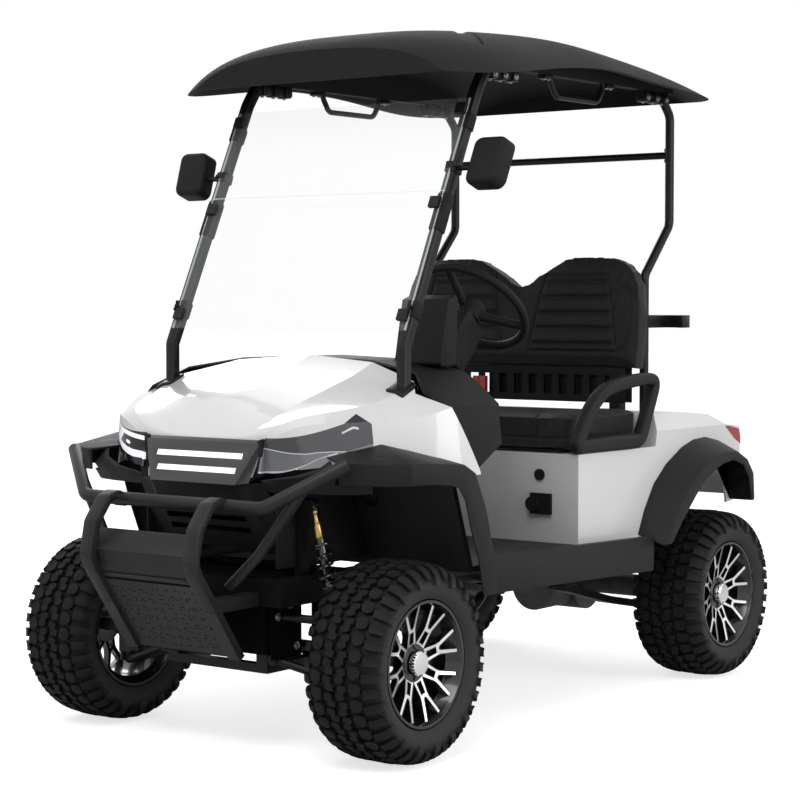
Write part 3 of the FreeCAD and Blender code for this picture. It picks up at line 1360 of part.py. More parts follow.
def tail_lamp_solids(gap, reach):
    """The two tail lamps in the body's upper rear corners, shrunk by a gap and carried on past the side."""
    start = rear_end() - mm("lamp_length")
    low = mm("deck_z") + mm("lamp_rise")
    line = spread(TAIL_LAMP_SHARES, start, low, mm("lamp_length"), mm("lamp_height"))
    middle_y = sum(y for y, z in line) / len(line)
    middle_z = sum(z for y, z in line) / len(line)
    size = 1 - 2 * gap / mm("lamp_height")
    line = [(middle_y + (y - middle_y) * size, middle_z + (z - middle_z) * size) for y, z in line]
    outside = mm("body_half_width") - gap + reach
    inside = mm("body_half_width") - mm("lamp_width") + gap
    lens = side_solid(line, inside, outside)
    return [lens, lens.mirror(V(), V(1, 0, 0))]


def make_tail_lamps():
    """Red lenses that fill the body's rear corners."""
    node(feature("tail_lamps", Part.makeCompound(tail_lamp_solids(mm("panel_gap"), 0))), "tail_lamps")


def make_bag_well():
    """Open tray let into the rear deck."""
    gap = mm("panel_gap")
    half = mm("bag_half_width") - gap
    length = mm("bag_length") - 2 * gap
    low = mm("bag_floor_z")
    wall = mm("tray_wall")
    front = bag_front() + gap
    top = mm("deck_z") + mm("body_height")
    tray = Part.makeBox(2 * half, length, top - low, V(-half, front, low))
    inside = Part.makeBox(2 * (half - wall), length - 2 * wall, top, V(wall - half, front + wall, low + wall))
    deck = [(y, z) for y, z in body_profile()[3:8]]
    over = [(deck[-1][0] + mm("overrun"), deck[-1][1]), (deck[-1][0] + mm("overrun"), top + mm("overrun")),
            (deck[0][0], top + mm("overrun"))]
    trim = side_solid(deck + over, -half - wall, half + wall)
    node(feature("bag_well", tray.cut(inside).cut(trim)), "bag_well")


def make_battery():
    """The battery pack as one block on the frame."""
    box = block("battery_pack", ("2 * Dims.battery_half_width", "Dims.battery_length", "Dims.battery_height"),
                ("-Dims.battery_half_width", "Dims.battery_door_front - Dims.body_wall",
                 "Dims.deck_z + Dims.seat_gap"))
    node(box, "battery_pack")


def make_side_ports():
    """Charge socket and key-off switch on the seat base's front."""
    y = mm("body_front_y") - mm("seat_gap")
    x = mm("seat_half_width") * 0.84
    z = mm("deck_z")
    side = mm("lamp_width")
    flap = Part.makeBox(side * 1.5, side * 0.25, side * 1.3, V(x - side * 0.6, y - side * 0.25, z + side * 2.1))
    knob = Part.makeCylinder(side * 0.45, side * 0.3, V(x - side * 0.3, y - side * 0.25, z + side * 2.75),
                             V(0, -1, 0))
    plug = Part.makeCylinder(side * 0.36, side * 0.12, V(x, y, z + side * 4.55), V(0, -1, 0))
    node(feature("side_ports", Part.makeCompound([flap.fuse(knob), plug])), "side_ports")


# seats

def make_seat():
    """Seat lid: a pan with its hinge barrel, and the cushion on it."""
    pan = block("seat_plate", ("2 * (Dims.seat_half_width - 2 * Dims.seat_pan_thick)",
                               "Dims.seat_depth - 2 * Dims.seat_pan_thick", "Dims.seat_pan_thick"),
                ("2 * Dims.seat_pan_thick - Dims.seat_half_width", "Dims.seat_front_y",
                 "Dims.seat_base_z + Dims.seat_gap"))
    half = mm("hinge_half")
    radius = mm("hinge_radius")
    axis = V(-half, mm("seat_front_y") - radius - mm("pin_clearance"), mm("seat_base_z") + radius
             + mm("pin_clearance"))
    barrel = Part.makeCylinder(radius, 2 * half, axis, V(1, 0, 0))
    leaf = Part.makeBox(2 * half, 3 * radius, 2 * radius, axis - V(0, 0, radius))
    node(fuse("seat_pan", pan, feature("seat_hinge", barrel.fuse(leaf))), "seat_pan")
    half = mm("seat_half_width")
    start = mm("seat_front_y")
    outline = [(-half, start), (half, start), (half, start + mm("seat_depth")), (-half, start + mm("seat_depth"))]
    cushion = prism("cushion", "XY_Plane", [corner_edges(outline, mm("seat_pan_thick") * 6)], "Dims.cushion_thick",
                    {"z": "Dims.seat_base_z + Dims.seat_pan_thick + 2 * Dims.seat_gap"})
    node(cushion, "seat_cushion")


def make_seat_back():
    """Two-lobed backrest leaning back over its slotted bracket."""
    half = spread(BACK_OUTLINE_SHARES, 0, 0, mm("back_half_width"), mm("back_height"))
    points = [V(x, 0, z) for x, z in half]
    points += [V(-p.x, 0, p.z) for p in reversed(points[:-1])]
    solid = Part.Face(Part.makePolygon(points + points[:1])).extrude(V(0, mm("back_thick"), 0))
    lean = math.degrees(math.atan2(mm("back_lean"), mm("back_height")))
    solid.rotate(V(), V(1, 0, 0), -lean)
    solid.translate(V(0, mm("back_front_y"), mm("back_low_z") + mm("back_thick") * math.sin(math.radians(lean))))
    node(feature("seat_back", solid), "seat_back")
    width = mm("back_half_width") * 0.93
    low = mm("bracket_low_z")
    top = mm("back_low_z") - mm("seat_gap")
    plate = Part.makeBox(2 * width, mm("bracket_plate"), top - low, V(-width, mm("bracket_y"), low))
    count = int(mm("slot_count"))
    pitch = 2 * width / (count + 1)
    for number in range(count):
        x = -width + pitch * (number + 1) - mm("slot_width") / 2
        plate = plate.cut(Part.makeBox(mm("slot_width"), mm("overrun"), mm("slot_height"),
                                       V(x, mm("bracket_y") - mm("overrun") / 2, low + mm("slot_width") * 0.7)))
    posts = []
    foot = deck_height(mm("bracket_y")) + mm("seat_gap")
    for side in (-1, 1):
        x = side * (width - mm("bracket_post")) - mm("bracket_post") / 2
        posts.append(Part.makeBox(mm("bracket_post"), mm("bracket_post"), top - foot,
                                  V(x, mm("bracket_y"), foot)))
    node(feature("seat_back_bracket", plate.multiFuse(posts)), "seat_back_bracket")


def make_buckles():
    """Two belt buckles standing on the bracket's lower rail."""
    width = mm("slot_width") * 0.7
    items = []
    for share in (-0.36, -0.3):
        x = mm("back_half_width") * share - width / 2
        items.append(Part.makeBox(width, width * 0.7, mm("slot_height"),
                                  V(x, mm("bracket_y") - width * 0.7 - mm("seat_gap"), mm("bracket_low_z")
                                    + mm("slot_width") * 0.4)))
    node(feature("belt_buckles", Part.makeCompound(items)), "belt_buckles")


def make_armrests():
    """Moulded hip restraint loops beside the cushion."""
    outer = spread(ARM_OUTLINE_SHARES, mm("arm_front_y"), mm("arm_base_z"), mm("arm_length"), mm("arm_height"))
    middle_y = sum(y for y, z in outer) / len(outer)
    middle_z = sum(z for y, z in outer) / len(outer)
    bar = mm("arm_bar")
    shrink_y = 1 - 2 * bar / mm("arm_length")
    shrink_z = 1 - 2 * bar / mm("arm_height")
    inner = [(middle_y + (y - middle_y) * shrink_y, middle_z + (z - middle_z) * shrink_z) for y, z in outer]
    loops = [corner_edges(outer, bar * 0.6), corner_edges(inner, bar * 0.4)]
    arm = prism("armrest", "YZ_Plane", loops, "Dims.arm_width", {"x": "Dims.arm_inside_x"})
    pair("armrests", arm)


# canopy

def pillar_line():
    """Foot, kink and top of the windscreen pillars, in the side view."""
    base = V(mm("strut_x"), mm("pillar_base_y"), mm("pillar_base_z"))
    kink = V(mm("strut_x"), mm("pillar_base_y"), mm("pillar_kink_z"))
    top = V(mm("strut_x"), mm("pillar_top_y"), mm("pillar_top_z"))
    return base, kink, top


def make_front_struts():
    """Square windscreen pillars that turn back under the roof, with their mounting plates on the cowl."""
    base, kink, top = pillar_line()
    turn = V(mm("strut_x"), mm("pillar_top_y") + (mm("rail_z") - mm("pillar_top_z")) * 0.7, mm("rail_z"))
    end = V(mm("strut_x"), mm("pillar_end_y"), mm("rail_z"))
    bar = square_bar([base, kink, top, turn, end], mm("pillar_size"), mm("pillar_size"), mm("pillar_size"))
    half = mm("plate_half")
    length = mm("plate_front") + mm("plate_rear")
    under = cowl_solid(mm("panel_gap"))
    box = Part.makeBox(2 * half, length, 2 * mm("overrun"),
                       V(mm("strut_x") - half, mm("pillar_base_y") - mm("plate_front"), base.z - mm("plate_thick")))
    plate = box.common(cowl_solid(mm("panel_gap") + mm("plate_thick"))).cut(under)
    pair("front_struts", feature("front_strut", bar.cut(under).fuse(plate)))


def glass_frame():
    """Direction up the windscreen, its forward normal and the point where it starts."""
    base, kink, top = pillar_line()
    up = V(top - kink).normalize()
    forward = V(0, -up.z, up.y)
    start = V(0, kink.y, kink.z) + forward * (mm("pillar_size") / 2 + mm("panel_gap"))
    return up, forward, start


def make_windscreen():
    """Two clear panes and the clips that hold them to the pillars."""
    up, forward, start = glass_frame()
    half = mm("glass_half_width")
    panes = (("windscreen_lower", mm("glass_low"), mm("glass_seam")),
             ("windscreen_upper", mm("glass_seam") + mm("seam_gap"), mm("glass_high")))
    for label, low, high in panes:
        corners = [start + up * low, start + up * high]
        outline = [corners[0] - V(half, 0, 0), corners[0] + V(half, 0, 0), corners[1] + V(half, 0, 0),
                   corners[1] - V(half, 0, 0)]
        pane = Part.Face(Part.makePolygon(outline + outline[:1])).extrude(forward * mm("glass_thick"))
        node(feature(label, pane), label)
    clips = []
    length = mm("clip_length")
    for height in (mm("glass_low") * 1.6, mm("glass_seam") - length / 2, mm("glass_high") - length * 1.6):
        middle = start + up * height + forward * (mm("glass_thick") + mm("seat_gap"))
        for side in (-1, 1):
            edge = V(side * (half - length / 2) - length / 2, 0, 0)
            clip = Part.makeBox(length, length * 0.35, length)
            clip.Placement = FreeCAD.Placement(middle + edge + forward * length * 0.35,
                                               FreeCAD.Rotation(V(0, 0, 1), up))
            clips.append(clip)
    node(feature("windscreen_clips", Part.makeCompound(clips)), "windscreen_clips")


def make_rear_struts():
    """Round tubes from the deck to the roof, tied by a crossbar."""
    x = mm("strut_x")
    foot_z = deck_height(mm("rear_foot_y") - mm("tube_radius")) + mm("seat_gap")
    points = [V(x, mm("rear_foot_y"), foot_z), V(x, mm("rear_foot_y"), mm("rear_bend_z")),
              V(x, mm("rear_kink_y"), mm("rear_kink_z")), V(x, mm("rear_kink_y"), mm("rear_top_z")),
              V(x, mm("rear_kink_y") - (mm("rail_z") - mm("rear_top_z")), mm("rail_z")),
              V(x, mm("rear_end_y"), mm("rail_z"))]
    left = tube(points, mm("tube_radius"), mm("tube_radius") * 3)
    right = left.mirror(V(), V(1, 0, 0))
    bar = Part.makeCylinder(mm("tube_radius") * 0.8, 2 * x, V(-x, mm("rear_kink_y"), mm("crossbar_z")), V(1, 0, 0))
    node(feature("rear_struts", bar.multiFuse([left, right])), "rear_struts")


def roof_channel(lowered):
    """The two shallow channels that run from the roof's front corners and meet behind its middle."""
    ends = [V(x * mm("roof_half_width"), mm("roof_front_y") + y * mm("roof_length"), mm("roof_base_z"))
            for x, y in ROOF_CHANNEL_SHARES]
    along = (ends[1] - ends[0]).normalize()
    side = V(-along.y, along.x, 0) * (mm("roof_channel") / 2)
    past = along * (mm("roof_channel") / 2)
    corners = [ends[0] - side, ends[0] + side, ends[1] + side + past, ends[1] - side + past]
    strip = Part.Face(Part.makePolygon(corners + corners[:1])).extrude(V(0, 0, 2 * mm("roof_height")))
    return strip.fuse(strip.mirror(V(), V(1, 0, 0))).cut(lowered)


def make_roof():
    """Crowned canopy shell, open below, with two mounting rails moulded inside and channels in its top."""
    place = [mm("roof_front_y"), mm("roof_length"), mm("roof_half_width"), mm("roof_base_z")]
    height = mm("roof_height")
    wall = mm("roof_wall")
    outer = loft_sections(ROOF_STATION_SHARES, ROOF_SECTION_SHARES, *place, height, True)
    inner = loft_sections(ROOF_STATION_SHARES, ROOF_SECTION_SHARES, *place, height, True, trim=(wall, -wall), wall=wall)
    lowered = outer.copy()
    lowered.translate(V(0, 0, -mm("roof_channel_depth")))
    half = mm("roof_rail_half")
    floor_z = mm("rail_z") + mm("pillar_size") / 2 + mm("panel_gap")
    length = mm("roof_length") * 0.86
    start = mm("roof_front_y") + mm("roof_length") * 0.07
    rails = []
    for side in (-1, 1):
        corner = V(side * mm("strut_x") - half, start, floor_z)
        rails.append(Part.makeBox(2 * half, length, height, corner).common(lowered))
        rails.append(Part.makeBox(2 * half, length, half * 1.1, corner))
    shell = outer.cut(inner).cut(roof_channel(lowered))
    node(feature("roof", shell.multiFuse(rails)), "roof")


def make_grab_handles():
    """Bent tubes under the roof's sides."""
    x = mm("strut_x") + mm("roof_rail_half") * 0.4
    front = mm("handle_front_y")
    rear = front + mm("handle_length")
    top = mm("rail_z") + mm("pillar_size") / 2 + mm("panel_gap") - mm("seat_gap")
    low = top - mm("handle_drop")
    lean = mm("handle_drop") / 2
    end_z = top - 2 * mm("handle_radius")
    points = [V(x, front, top), V(x, front, end_z), V(x, front + lean, low), V(x, rear - lean, low),
              V(x, rear, end_z), V(x, rear, top)]
    handle = feature("grab_handle", tube(points, mm("handle_radius"), mm("handle_drop") / 2))
    pair("grab_handles", handle)


def make_mirrors():
    """Door mirrors on short arms from the pillars."""
    x = mm("mirror_x")
    y = mm("mirror_y")
    z = mm("mirror_z")
    width = mm("mirror_width")
    depth = mm("mirror_depth")
    height = mm("mirror_height")
    outline = [(-width * 0.42, -height * 0.5), (width * 0.5, -height * 0.44), (width * 0.44, height * 0.5),
               (-width * 0.5, height * 0.44)]
    wire = Part.Wire([edge.toShape() for edge in corner_edges(outline, width * 0.2)])
    wire.Placement = FreeCAD.Placement(V(0, depth / 2, 0), FreeCAD.Rotation(V(1, 0, 0), 90))
    housing = Part.Face(wire).extrude(V(0, -depth, 0))
    housing.rotate(V(), V(1, 0, 0), -mm("mirror_lean"))
    housing.translate(V(x, y, z))
    start = mm("strut_x") + mm("pillar_size") / 2 + mm("seat_gap")
    arm = Part.makeCylinder(mm("handle_radius"), x - start, V(start, y, z - height * 0.1), V(1, 0, 0))
    pair("side_mirrors", feature("side_mirror", housing.fuse(arm)))


# guard and bag rack

def make_brush_guard():
    """Two deep straps hooked over a tube, with the plates between them and the corner tubes."""
    box = (mm("guard_front_y"), mm("guard_low_z"), mm("guard_reach"), mm("guard_height"))
    strap = spread(STRAP_SHARES, *box)
    thick = mm("strap_thick")
    bars = []
    middle_x = mm("guard_half_width") - mm("strap_width") / 2
    for side in (-1, 1):
        path = [V(side * middle_x, y + thick / 2, z) for y, z in strap]
        bars.append(square_bar(path, mm("strap_width"), thick / 2, thick / 2))
    plate = mm("guard_plate")
    half = mm("guard_half_width") - mm("strap_width") / 2
    line = spread(PLATE_SHARES, *box)
    front = [(y + thick * 0.6, z) for y, z in line]
    back = [(y + plate, z + plate * 0.3) for y, z in front]
    panel = side_prism("guard_panel", front + back[::-1], -half, half)
    doc.recompute()
    sheet_metal = panel.Shape.copy()
    doc.removeObject(panel.Name)
    radius = mm("guard_tube_radius")
    top_z = mm("guard_low_z") + mm("guard_height") * 0.96
    tube_y = mm("guard_front_y") + mm("guard_reach") * 0.72 + thick / 2
    front_x = mm("guard_half_width") * 1.55
    side_x = mm("guard_half_width") * 2.4
    rise = mm("guard_height") * 0.27
    back_y = mm("guard_reach") * 0.74
    upper = tube([V(-side_x, tube_y + back_y, top_z + rise), V(-front_x, tube_y, top_z), V(front_x, tube_y, top_z),
                  V(side_x, tube_y + back_y, top_z + rise)], radius, radius * 3)
    legs = []
    for side in (-1, 1):
        legs.append(tube([V(side * (front_x + side_x) / 2, tube_y + back_y / 2, top_z + rise / 2),
                          V(side * front_x * 0.86, tube_y + radius * 2, top_z - rise * 1.1),
                          V(side * middle_x, tube_y + radius, top_z - rise * 1.9)], radius * 0.8, radius * 2))
    low = mm("deck_z") - mm("rail_height")
    arms = []
    for side in (-1, 1):
        x = side * middle_x - mm("strap_width") / 2
        arms.append(Part.makeBox(mm("strap_width"), mm("guard_reach"), mm("rail_height") / 2,
                                 V(x, mm("frame_front_y") - mm("seat_gap") - mm("guard_reach"), low)))
    shape = upper.multiFuse(bars + legs + arms + [sheet_metal])
    node(feature("brush_guard", shape), "brush_guard")


def make_bag_rack():
    """Bar behind the seat that golf bags are strapped to."""
    x = mm("strut_x")
    y = mm("rack_bar_y")
    z = mm("rack_bar_z")
    height = mm("rack_bar_height")
    half = mm("rack_bar_half")
    thick = mm("bracket_plate") * 2
    bar = Part.makeBox(2 * half, thick, height, V(-half, y, z - height / 2))
    parts = []
    near = mm("rear_foot_y") + mm("tube_radius") + mm("seat_gap")
    for side in (-1, 1):
        parts.append(Part.makeBox(thick, y - near + thick, height, V(side * x - thick / 2, near, z - height / 2)))
        parts.append(Part.makeBox(thick * 2, thick * 4, height, V(side * half - thick, y - thick * 3,
                                                                  z - height / 2)))
    node(feature("bag_rack", bar.multiFuse(parts)), "bag_rack")


def build():
    """Every sub-part of the cart."""
    make_wheels()
    make_frame()
    make_front_arms()
    make_shocks()
    make_steering_gear()
    make_rear_axle()
    make_leaf_springs()
    make_cowl()
    make_light_bar()
    make_bumper_cover()
    make_flares()
    make_sills()
    make_floor()
    make_dashboard()
    make_steering()
    make_pedals()
    make_rear_body()
    make_tail_lamps()
    make_bag_well()
    make_battery()
    make_side_ports()
    make_seat()
    make_seat_back()
    make_buckles()
    make_armrests()
    make_front_struts()
    make_windscreen()
    make_rear_struts()
    make_roof()
    make_grab_handles()
    make_mirrors()
    make_brush_guard()
    make_bag_rack()


def check_and_export():
    """Stops on a failed object or a bad solid, and writes one file for each sub-part."""
    doc.recompute()
    for thing in doc.Objects:
        if "Invalid" in thing.State or "Error" in thing.State:
            raise RuntimeError("failed object: " + thing.Label)
    for piece in nodes:
        if piece.Shape.isNull() or not piece.Shape.isValid() or not piece.Shape.Solids:
            raise RuntimeError("bad shape: " + piece.Label)
    os.makedirs("parts", exist_ok=True)
    for piece in nodes:
        piece.Shape.exportStep("parts/%s.step" % piece.Label)
        print(piece.Label, len(piece.Shape.Solids), round(piece.Shape.Volume / 1e6, 3))


build()
check_and_export()
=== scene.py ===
import math

import bmesh
import bpy
from mathutils import Matrix, Vector


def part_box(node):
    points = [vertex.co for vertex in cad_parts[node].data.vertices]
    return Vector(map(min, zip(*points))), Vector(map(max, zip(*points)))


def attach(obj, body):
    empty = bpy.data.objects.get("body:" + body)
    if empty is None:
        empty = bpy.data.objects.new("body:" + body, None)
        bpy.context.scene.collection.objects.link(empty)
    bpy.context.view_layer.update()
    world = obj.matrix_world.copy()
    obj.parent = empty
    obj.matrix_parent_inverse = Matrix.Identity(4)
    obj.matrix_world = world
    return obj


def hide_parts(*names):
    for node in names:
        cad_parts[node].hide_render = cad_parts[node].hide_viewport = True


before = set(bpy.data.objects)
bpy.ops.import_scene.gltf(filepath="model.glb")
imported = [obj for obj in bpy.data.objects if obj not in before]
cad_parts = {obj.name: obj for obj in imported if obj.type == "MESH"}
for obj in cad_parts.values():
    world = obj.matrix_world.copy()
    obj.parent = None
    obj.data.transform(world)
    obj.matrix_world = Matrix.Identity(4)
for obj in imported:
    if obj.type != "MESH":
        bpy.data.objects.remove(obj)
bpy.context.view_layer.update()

bl_info = {
    "name": "Golf cart dressing",
    "version": (1, 0, 0),
    "blender": (4, 5, 0),
    "location": "View3D > Sidebar > Cart",
    "description": "Tyres, wheels, seats, lamps, fittings and finishes on the golf cart's frame",
    "category": "Object",
}

MM = 0.001
WELD = 0.00001
# edges flatter than the first are dissolved, and those sharper than the second are softened
FLAT = math.radians(0.5)
SHARP = math.radians(24.0)
CORNERS = ("front_left", "front_right", "rear_left", "rear_right")
SIDES = (("left", 1), ("right", -1))
PAINTS = {}


# shader helpers

class Level:
    """A number that may vary over a surface, held as a socket; the usual signs add Math nodes."""

    def __init__(self, paint, socket):
        self.paint = paint
        self.socket = socket

    def maths(self, operation, *values):
        made = self.paint.node("ShaderNodeMath", {"operation": operation}, dict(enumerate(values)))
        return Level(self.paint, made.outputs[0])

    def __add__(self, other):
        return self.maths("ADD", self, other)

    def __radd__(self, other):
        return self.maths("ADD", other, self)

    def __sub__(self, other):
        return self.maths("SUBTRACT", self, other)

    def __rsub__(self, other):
        return self.maths("SUBTRACT", other, self)

    def __mul__(self, other):
        return self.maths("MULTIPLY", self, other)

    def __rmul__(self, other):
        return self.maths("MULTIPLY", other, self)

    def __lt__(self, other):
        return self.maths("LESS_THAN", self, other)

    def __gt__(self, other):
        return self.maths("GREATER_THAN", self, other)

    def __abs__(self):
        return self.maths("ABSOLUTE", self)

    def sine(self):
        return self.maths("SINE", self)


class Paint:
    """One material: a method that adds any node, and the shader that the nodes feed."""

    def __init__(self, name, **constants):
        self.material = bpy.data.materials.new(name)
        self.material.use_nodes = True
        self.tree = self.material.node_tree
        self.tree.nodes.clear()
        self.shader = self.node("ShaderNodeBsdfPrincipled")
        self.node("ShaderNodeOutputMaterial", values={"Surface": self.shader.outputs[0]})
        self.place = self.node("ShaderNodeTexCoord").outputs["Object"]
        for key, value in constants.items():
            self.feed(self.shader.inputs[key.replace("_", " ").title()], value)

    def node(self, kind, settings=None, values=None):
        made = self.tree.nodes.new(kind)
        for key, value in (settings or {}).items():
            setattr(made, key, value)
        for key, value in (values or {}).items():
            self.feed(made.inputs[key], value)
        return made

    def feed(self, socket, value):
        source = getattr(value, "socket", value)
        if isinstance(source, bpy.types.NodeSocket):
            self.tree.links.new(source, socket)
        else:
            socket.default_value = source

    def give(self, key, value):
        self.feed(self.shader.inputs[key], value)

    def noise(self, scale, detail=2.0, where=None):
        values = {"Vector": where or self.place, "Scale": scale, "Detail": detail}
        return Level(self, self.node("ShaderNodeTexNoise", values=values).outputs[0])

    def cells(self, scale, feature="F1"):
        values = {"Vector": self.place, "Scale": scale}
        made = self.node("ShaderNodeTexVoronoi", {"feature": feature}, values)
        return Level(self, made.outputs["Distance"])

    def stretched(self, scale):
        return self.node("ShaderNodeMapping", values={"Vector": self.place, "Scale": scale}).outputs[0]

    def part(self, vector, axis):
        parts = self.node("ShaderNodeSeparateXYZ", values={0: vector})
        return Level(self, parts.outputs["XYZ".index(axis)])

    def along(self, axis):
        return self.part(self.place, axis)

    def facing(self, axis):
        return self.part(self.node("ShaderNodeTexCoord").outputs["Normal"], axis)

    def marked(self, name):
        made = self.node("ShaderNodeAttribute", {"attribute_name": name})
        return Level(self, made.outputs["Fac"])

    def ramp(self, level, low, high):
        values = {"Value": level, "From Min": low, "From Max": high}
        return Level(self, self.node("ShaderNodeMapRange", values=values).outputs[0])

    def mix(self, mask, first, second):
        values = {0: mask, 6: first, 7: second}
        return self.node("ShaderNodeMix", {"data_type": "RGBA"}, values).outputs[2]

    def bump(self, height, distance):
        values = {"Height": height, "Distance": distance, "Strength": 1.0}
        self.give("Normal", self.node("ShaderNodeBump", values=values).outputs[0])
        return self


def within(level, low, high):
    """Mask of where a level lies between two values."""
    return (level > low) * (level < high)


def shade(colour, factor):
    """A lighter or darker opaque colour."""
    return tuple(min(1.0, part * factor) for part in colour[:3]) + (1.0,)


def mottled(paint, colour, amount, scale):
    """Base colour that drifts a little about its mean; gives the cloud that it follows."""
    cloud = paint.noise(scale, 4.0)
    drift = paint.ramp(cloud, 0.3, 0.7)
    paint.give("Base Color", paint.mix(drift, shade(colour, 1 - amount), shade(colour, 1 + amount)))
    return cloud


# finishes

# the cowl is black under the lamps: the line's height at the nose, its rise outwards, and where it ends
LAMP_LINE_Z = 0.97
LAMP_LINE_RISE = 0.245
LAMP_LINE_END_Y = -0.785
BLACK = (0.012, 0.012, 0.012, 1.0)


def enamel(name, colour):
    """Glossy body enamel under a clear coat, with a faint orange peel, and black under the lamps."""
    paint = Paint(name, coat_weight=0.8, coat_roughness=0.03)
    cloud = paint.noise(6.0, 4.0)
    tone = paint.mix(cloud, shade(colour, 0.985), shade(colour, 1.015))
    reach = abs(paint.along("X")) + paint.along("Y")
    under = paint.along("Z") - reach * LAMP_LINE_RISE < LAMP_LINE_Z
    under = under * (paint.along("Y") < LAMP_LINE_END_Y)
    paint.give("Base Color", paint.mix(under, tone, BLACK))
    paint.give("Roughness", 0.26 + cloud * 0.08)
    return paint.bump(paint.noise(420.0), 0.00006)


def grained(name, colour, rough, scale=900.0, depth=0.00025, specular=0.16):
    """Moulded plastic with a fine grain."""
    paint = Paint(name)
    paint.give("Specular IOR Level", specular)
    cloud = mottled(paint, colour, 0.12, 14.0)
    grain = paint.cells(scale)
    paint.give("Roughness", rough + (cloud - 0.5) * 0.16 + grain * 0.06)
    return paint.bump(grain + paint.noise(scale * 0.4) * 0.5, depth)


def powder_coat(name, colour, rough):
    """Powder-coated steel: fine dimples and an even sheen."""
    paint = Paint(name)
    paint.give("Specular IOR Level", 0.24)
    cloud = mottled(paint, colour, 0.1, 20.0)
    paint.give("Roughness", rough + (cloud - 0.5) * 0.12)
    return paint.bump(paint.noise(1400.0, 3.0), 0.00012)


def gloss(name, colour, rough=0.08):
    """Polished dark plastic with a few soft handling marks."""
    paint = Paint(name, coat_weight=0.6, coat_roughness=0.04)
    mottled(paint, colour, 0.08, 10.0)
    haze = paint.ramp(paint.noise(5.0, 5.0), 0.45, 0.75)
    paint.give("Roughness", rough + haze * 0.1)
    return paint.bump(paint.noise(180.0), 0.00003)


def brushed(name, colour, rough, scale=(40.0, 900.0, 900.0)):
    """Bare metal with fine lines along one axis."""
    paint = Paint(name)
    paint.give("Metallic", 1.0)
    lines = paint.noise(1.0, 3.0, paint.stretched(scale))
    paint.give("Base Color", paint.mix(lines, shade(colour, 0.82), shade(colour, 1.1)))
    paint.give("Roughness", rough + (lines - 0.5) * 0.18)
    return paint.bump(lines, 0.00005)


def cast_metal(name, colour):
    """Sand-cast housing: coarse dull grain."""
    paint = Paint(name)
    paint.give("Metallic", 0.7)
    cloud = mottled(paint, colour, 0.25, 30.0)
    paint.give("Roughness", 0.5 + cloud * 0.25)
    return paint.bump(paint.noise(500.0, 4.0), 0.0004)


def tyre_rubber(colour):
    """Rubber: black tread, and a sidewall painted several times lighter than the tread."""
    paint = Paint("tyre_rubber")
    paint.give("Specular IOR Level", 0.2)
    side = paint.marked("sidewall")
    dust = paint.ramp(paint.noise(28.0, 5.0), 0.35, 0.75)
    tread = paint.mix(dust, shade(colour, 0.75), shade(colour, 1.3))
    wall = paint.mix(dust, shade(colour, 3.6), shade(colour, 4.6))
    paint.give("Base Color", paint.mix(side, tread, wall))
    paint.give("Roughness", 0.62 + dust * 0.14)
    return paint.bump(paint.noise(700.0, 3.0) + paint.cells(260.0) * 0.4, 0.0003)


def vinyl(colour):
    """Seat vinyl: a leather grain of small cells with a low sheen."""
    paint = Paint("seat_vinyl", sheen_weight=0.08, sheen_roughness=0.4)
    paint.give("Specular IOR Level", 0.25)
    cloud = mottled(paint, colour, 0.2, 9.0)
    crease = paint.cells(420.0, "DISTANCE_TO_EDGE")
    fine = paint.noise(1500.0)
    paint.give("Roughness", 0.42 + cloud * 0.1 + fine * 0.06)
    return paint.bump(paint.ramp(crease, 0.0, 0.12) + fine * 0.3, 0.00035)


def clear_sheet(name, alpha, edge_high, edge_half):
    """Clear acrylic: nearly invisible, its cut edges catch the light."""
    paint = Paint(name)
    paint.give("Roughness", 0.03 + paint.noise(3.0) * 0.02)
    cloud = paint.noise(2.0)
    paint.give("Base Color", paint.mix(cloud, (0.8, 0.86, 0.88, 1.0), (0.9, 0.94, 0.95, 1.0)))
    rim = abs(paint.along("X")) > edge_half
    lip = within(paint.along("Z"), *edge_high)
    paint.give("Alpha", alpha + rim * 0.45 + lip * 0.35)
    return paint


def lamp_face(colour):
    """Headlamp: white bands round two projectors on the cart's right, smoked facets on its left, their two
    tones and darkening towards the top painted shade, their pale lines painted highlights.
    """
    paint = Paint("lamp_face", coat_weight=1.0, coat_roughness=0.03)
    paint.give("Specular IOR Level", 0.3)
    up = paint.marked("up")
    along = paint.marked("along")

    def projector(middle_along, middle_up):
        across = along - middle_along
        above = up - middle_up
        return across * 60.0 * across + above * 30.0 * above < 0.1

    # bounds are shares of the lens's height and length
    right = paint.along("X") < 0.0
    upper = within(up, 0.8, 0.94)
    lower = within(up, 0.22, 0.44)
    cross = within(along + up * 0.28, 0.56, 0.7) * within(up, 0.3, 0.9)
    end = (along > 0.88) * within(up, 0.22, 0.94)
    bands = (upper + lower + cross + end) > 0.5
    dots = (projector(0.24, 0.6) + projector(0.62, 0.64)) * within(along, 0.06, 0.9)
    lit = right * ((bands + dots) > 0.5)
    # the cart's left lamp is drawn with painted shade and painted highlights for the light on its facets
    slant = up + along * 1.03
    shaded_facet = slant < 0.74
    rim = (within(slant, 0.74, 0.77) + (up < 0.05) * (along < 0.66)) > 0.5
    dash = within(up, 0.6, 0.67) * within(along, 0.7, 0.86)
    # painted shade: the lower facet darker than the upper, and the lens darker towards its top
    grey = paint.mix(shaded_facet, shade(colour, 0.07), shade(colour, 0.2))
    grey = paint.mix(paint.ramp(up, 0.0, 1.0) * 0.5, grey, shade(colour, 0.05))
    # painted highlights: pale lines along the facet edge, along the lens's foot and in a short dash
    grey = paint.mix((rim + dash) > 0.5, grey, shade(colour, 0.7))
    dark = paint.mix(paint.noise(30.0), shade(colour, 0.008), shade(colour, 0.014))
    paint.give("Base Color", paint.mix(lit, paint.mix(right, grey, dark), colour))
    paint.give("Emission Color", paint.mix(lit, (0.0, 0.0, 0.0, 1.0), colour))
    paint.give("Emission Strength", 0.5)
    paint.give("Roughness", 0.08 + paint.noise(8.0) * 0.03)
    return paint


